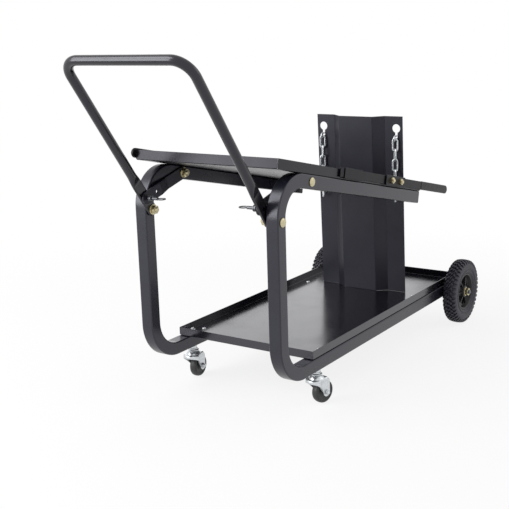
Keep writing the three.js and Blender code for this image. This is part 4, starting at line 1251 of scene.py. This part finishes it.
def fork():
    """The pressed fork: head, skirt and legs in one sheet, with the raised race on top."""
    bm = bmesh.new()
    plan = fork_plan()
    rows = []
    for i, at in enumerate(plan):
        along = (plan[min(i + 1, len(plan) - 1)] - plan[max(i - 1, 0)]).normalized()
        inward = Vector((-along.y, along.x))
        low = fork_bottom(at.y)
        high = FORK_TOP - max(0, at.y - 22)
        column = [(at, low + (high - FORK_FOLD - low) * k / 5) for k in range(6)]
        for k in range(1, 5):
            turn = math.pi / 2 * k / 4
            column.append((at + inward * FORK_FOLD * (1 - math.cos(turn)), high - FORK_FOLD * (1 - math.sin(turn))))
        rows.append([bm.verts.new((spot.x, spot.y, z)) for spot, z in column])
    for a, b in zip(rows, rows[1:]):
        for k in range(len(a) - 1):
            bm.faces.new((a[k], b[k], b[k + 1], a[k + 1]))
    bm.faces.new([row[-1] for row, at in zip(rows, plan) if at.y < 22])
    bmesh.ops.recalc_face_normals(bm, faces=bm.faces)
    bm.faces.ensure_lookup_table()
    if bm.faces[-1].normal.z < 0:
        bmesh.ops.reverse_faces(bm, faces=bm.faces)
    press = worked(sheet_metal(bm, FORK_SHEET), bevel(0.5, 2, 50))
    race = bmesh.new()
    outline = [(5.3, FORK_TOP - 1), (18, FORK_TOP - 1), (17.4, FORK_TOP + 0.6), (16.2, FORK_TOP + 2.4),
               (14.4, FORK_TOP + 4.4), (12.4, FORK_TOP + 6.2), (10.4, FORK_TOP + 7.4), (8.6, FORK_TOP + 7.8),
               (5.3, FORK_TOP + 7.8)]
    turned(race, outline, 48, Matrix.Rotation(-math.pi / 2, 4, "Y"), loop=True)
    return joined_mesh(press, worked(race))


def stem():
    """The stem with its upper race, spacer and nut, and the head that holds the fork from below."""
    bm = bmesh.new()
    up = Matrix.Rotation(-math.pi / 2, 4, "Y")
    body = [(0, 52.5), (6, 52.8), (7.6, 54), (8, FORK_UNDER - 0.4), (5, FORK_UNDER - 0.4), (5, 70.5), (12, 70.5),
            (13, 71.1), (13, 72.4), (12, 73.2), (9.8, 74), (9.6, 76.2), (9, 76.6), (5, 76.6), (5, 109.5), (4.2, 110),
            (0, 110)]
    turned(bm, body, 48, up)
    skin(bm, [[up @ p for p in ring] for ring in hex_rings(17, 8, 5.05, 76.7)], loop=True)
    return worked(bm)


def caster_wheel():
    """The wheel with a crowned tread and a raised hub, about the X axis."""
    half = [(3.8, 10), (8.4, 10), (9.2, 9.5), (10.2, 8.2), (12, 7.6), (17.4, 7.6), (18.8, 8.1), (20.2, 8.9), (22.4, 9.3),
            (24.2, 8.6), (25.6, 7.2), (26.5, 4.8), (26.9, 2.4), (27, 0)]
    bm = bmesh.new()
    turned(bm, half + [(r, -x) for r, x in reversed(half[:-1])], 72, loop=True)
    return worked(bm)


def caster_bolt():
    """The wheel's axle bolt with a hexagon head and a nut."""
    bm = bmesh.new()
    end = FORK_LEG + 0.3
    turned(bm, [(0, -end - 4.6), (3, -end - 4.6), (3.5, -end - 4), (3.5, end + 3.6),
                *thread(3.5, end + 3.6, end + 5.2), (2.8, end + 5.6), (0, end + 5.6)], 32)
    skin(bm, hex_rings(11, 4.2, 3.55, end), loop=True)
    skin(bm, hex_rings(11, 4.2, 3.55, -end - 4.2), loop=True)
    return worked(bm)


def stem_nut():
    """The nut on the stem's thread, where it comes up through the lower tray."""
    bm = bmesh.new()
    skin(bm, hex_rings(STEM_NUT, 6.5, 4.05, 0), loop=True)
    turned(bm, [(0, 0), (4, 0), *thread(4, 0.8, 9), (3, 9.8), (0, 9.8)])
    return worked(bm)


for name, side in SIDES:
    nut = stem_nut()
    on_floor = Matrix.Translation((side * RAIL_X, CASTER_Y, tray_floor))
    nut.transform(on_floor @ Matrix.Rotation(-math.pi / 2, 4, "Y"))
    piece(f"stem_nut_{name}", nut, bright_zinc, body="cart", slot="bright_zinc", sharp=28)
    swivel = Matrix.Translation((side * RAIL_X, CASTER_Y, 0)) @ Matrix.Rotation(CASTER_TURN[name], 4, "Z")
    hub = swivel @ Matrix.Translation((0, TRAIL, CASTER))
    for made, label, material, node, at in (
            (fork(), "pressed_fork", bright_zinc, "caster_fork", swivel),
            (stem(), "race_stem", bright_zinc, "caster_stem", swivel),
            (caster_wheel(), "rubber_wheel", caster_rubber, "caster_wheel", hub),
            (caster_bolt(), "wheel_bolt", bright_zinc, "caster_axle", hub)):
        made.transform(at)
        piece(f"{label}_{name}", made, material, f"{node}_{name}", sharp=35)

# Floor, light and background
# A pale studio floor that keeps the cart's soft shadow and fades to plain white away from it,
# under two soft boxes and an even white surround.
FLOOR_HALF = 30
FADE = (0.8, 1.8)
NEAR_SHARE = 0.84
floor_mesh = bpy.data.meshes.new("floor")
corners = [(-FLOOR_HALF, -FLOOR_HALF, 0), (FLOOR_HALF, -FLOOR_HALF, 0), (FLOOR_HALF, FLOOR_HALF, 0),
           (-FLOOR_HALF, FLOOR_HALF, 0)]
floor_mesh.from_pydata(corners, [], [(0, 1, 2, 3)])
floor = bpy.data.objects.new("floor", floor_mesh)
bpy.context.collection.objects.link(floor)
paper, tree, shader, place = new_finish("white_paper_floor", Roughness=0.9)
shader.inputs["Base Color"].default_value = linear("#f7f7f7")
shader.inputs["Specular IOR Level"].default_value = 0.0
away = add(tree, "ShaderNodeVectorMath", {0: place}, operation="LENGTH").outputs["Value"]
fade = add(tree, "ShaderNodeMapRange",
           {"Value": away, "From Min": FADE[0], "From Max": FADE[1], "To Min": NEAR_SHARE},
           interpolation_type="SMOOTHSTEP").outputs["Result"]
ray = add(tree, "ShaderNodeLightPath").outputs
plain = add(tree, "ShaderNodeEmission", {"Color": linear("#ffffff"), "Strength": 1.0}).outputs["Emission"]
seen = add(tree, "ShaderNodeMath", {0: ray["Is Camera Ray"], 1: ray["Is Glossy Ray"]}, operation="MAXIMUM").outputs[0]
share = add(tree, "ShaderNodeMath", {0: fade, 1: seen}, operation="MULTIPLY").outputs[0]
mix = add(tree, "ShaderNodeMixShader", {"Fac": share, 1: shader.outputs["BSDF"], 2: plain}).outputs["Shader"]
tree.links.new(mix, tree.nodes["Material Output"].inputs["Surface"])
floor_mesh.materials.append(paper)

world = bpy.data.worlds.new("studio")
bpy.context.scene.world = world
world.use_nodes = True
tree = world.node_tree
ray = add(tree, "ShaderNodeLightPath").outputs
seen = add(tree, "ShaderNodeMath", {0: ray["Is Camera Ray"], 1: ray["Is Glossy Ray"]}, operation="MAXIMUM").outputs[0]
seen = add(tree, "ShaderNodeMath", {0: seen, 1: ray["Is Transmission Ray"]}, operation="MAXIMUM").outputs[0]
power = add(tree, "ShaderNodeMapRange", {"Value": seen, "To Min": 0.6, "To Max": 1.0}).outputs["Result"]
surround = tree.nodes["Background"]
surround.inputs["Color"].default_value = linear("#ffffff")
tree.links.new(power, surround.inputs["Strength"])

LAMPS = (("key_box", (-1.6, -2.2, 2.6), 1.8, 50), ("front_box", (-1.55, -2.35, 0.95), 1.2, 26),
         ("side_box", (2.4, 1.6, 1.9), 1.6, 8), ("back_box", (-1.65, 2.4, 0.8), 1.6, 5))
for name, spot, size, watts in LAMPS:
    lamp = bpy.data.lights.new(name, "AREA")
    lamp.shape = "SQUARE"
    lamp.size = size
    lamp.energy = watts
    box = bpy.data.objects.new(name, lamp)
    bpy.context.collection.objects.link(box)
    box.location = spot
    box.visible_camera = False
    box.rotation_euler = (Vector((0, 0, 0.3)) - Vector(spot)).to_track_quat("-Z", "Y").to_euler()

bpy.context.scene.view_settings.view_transform = "Standard"
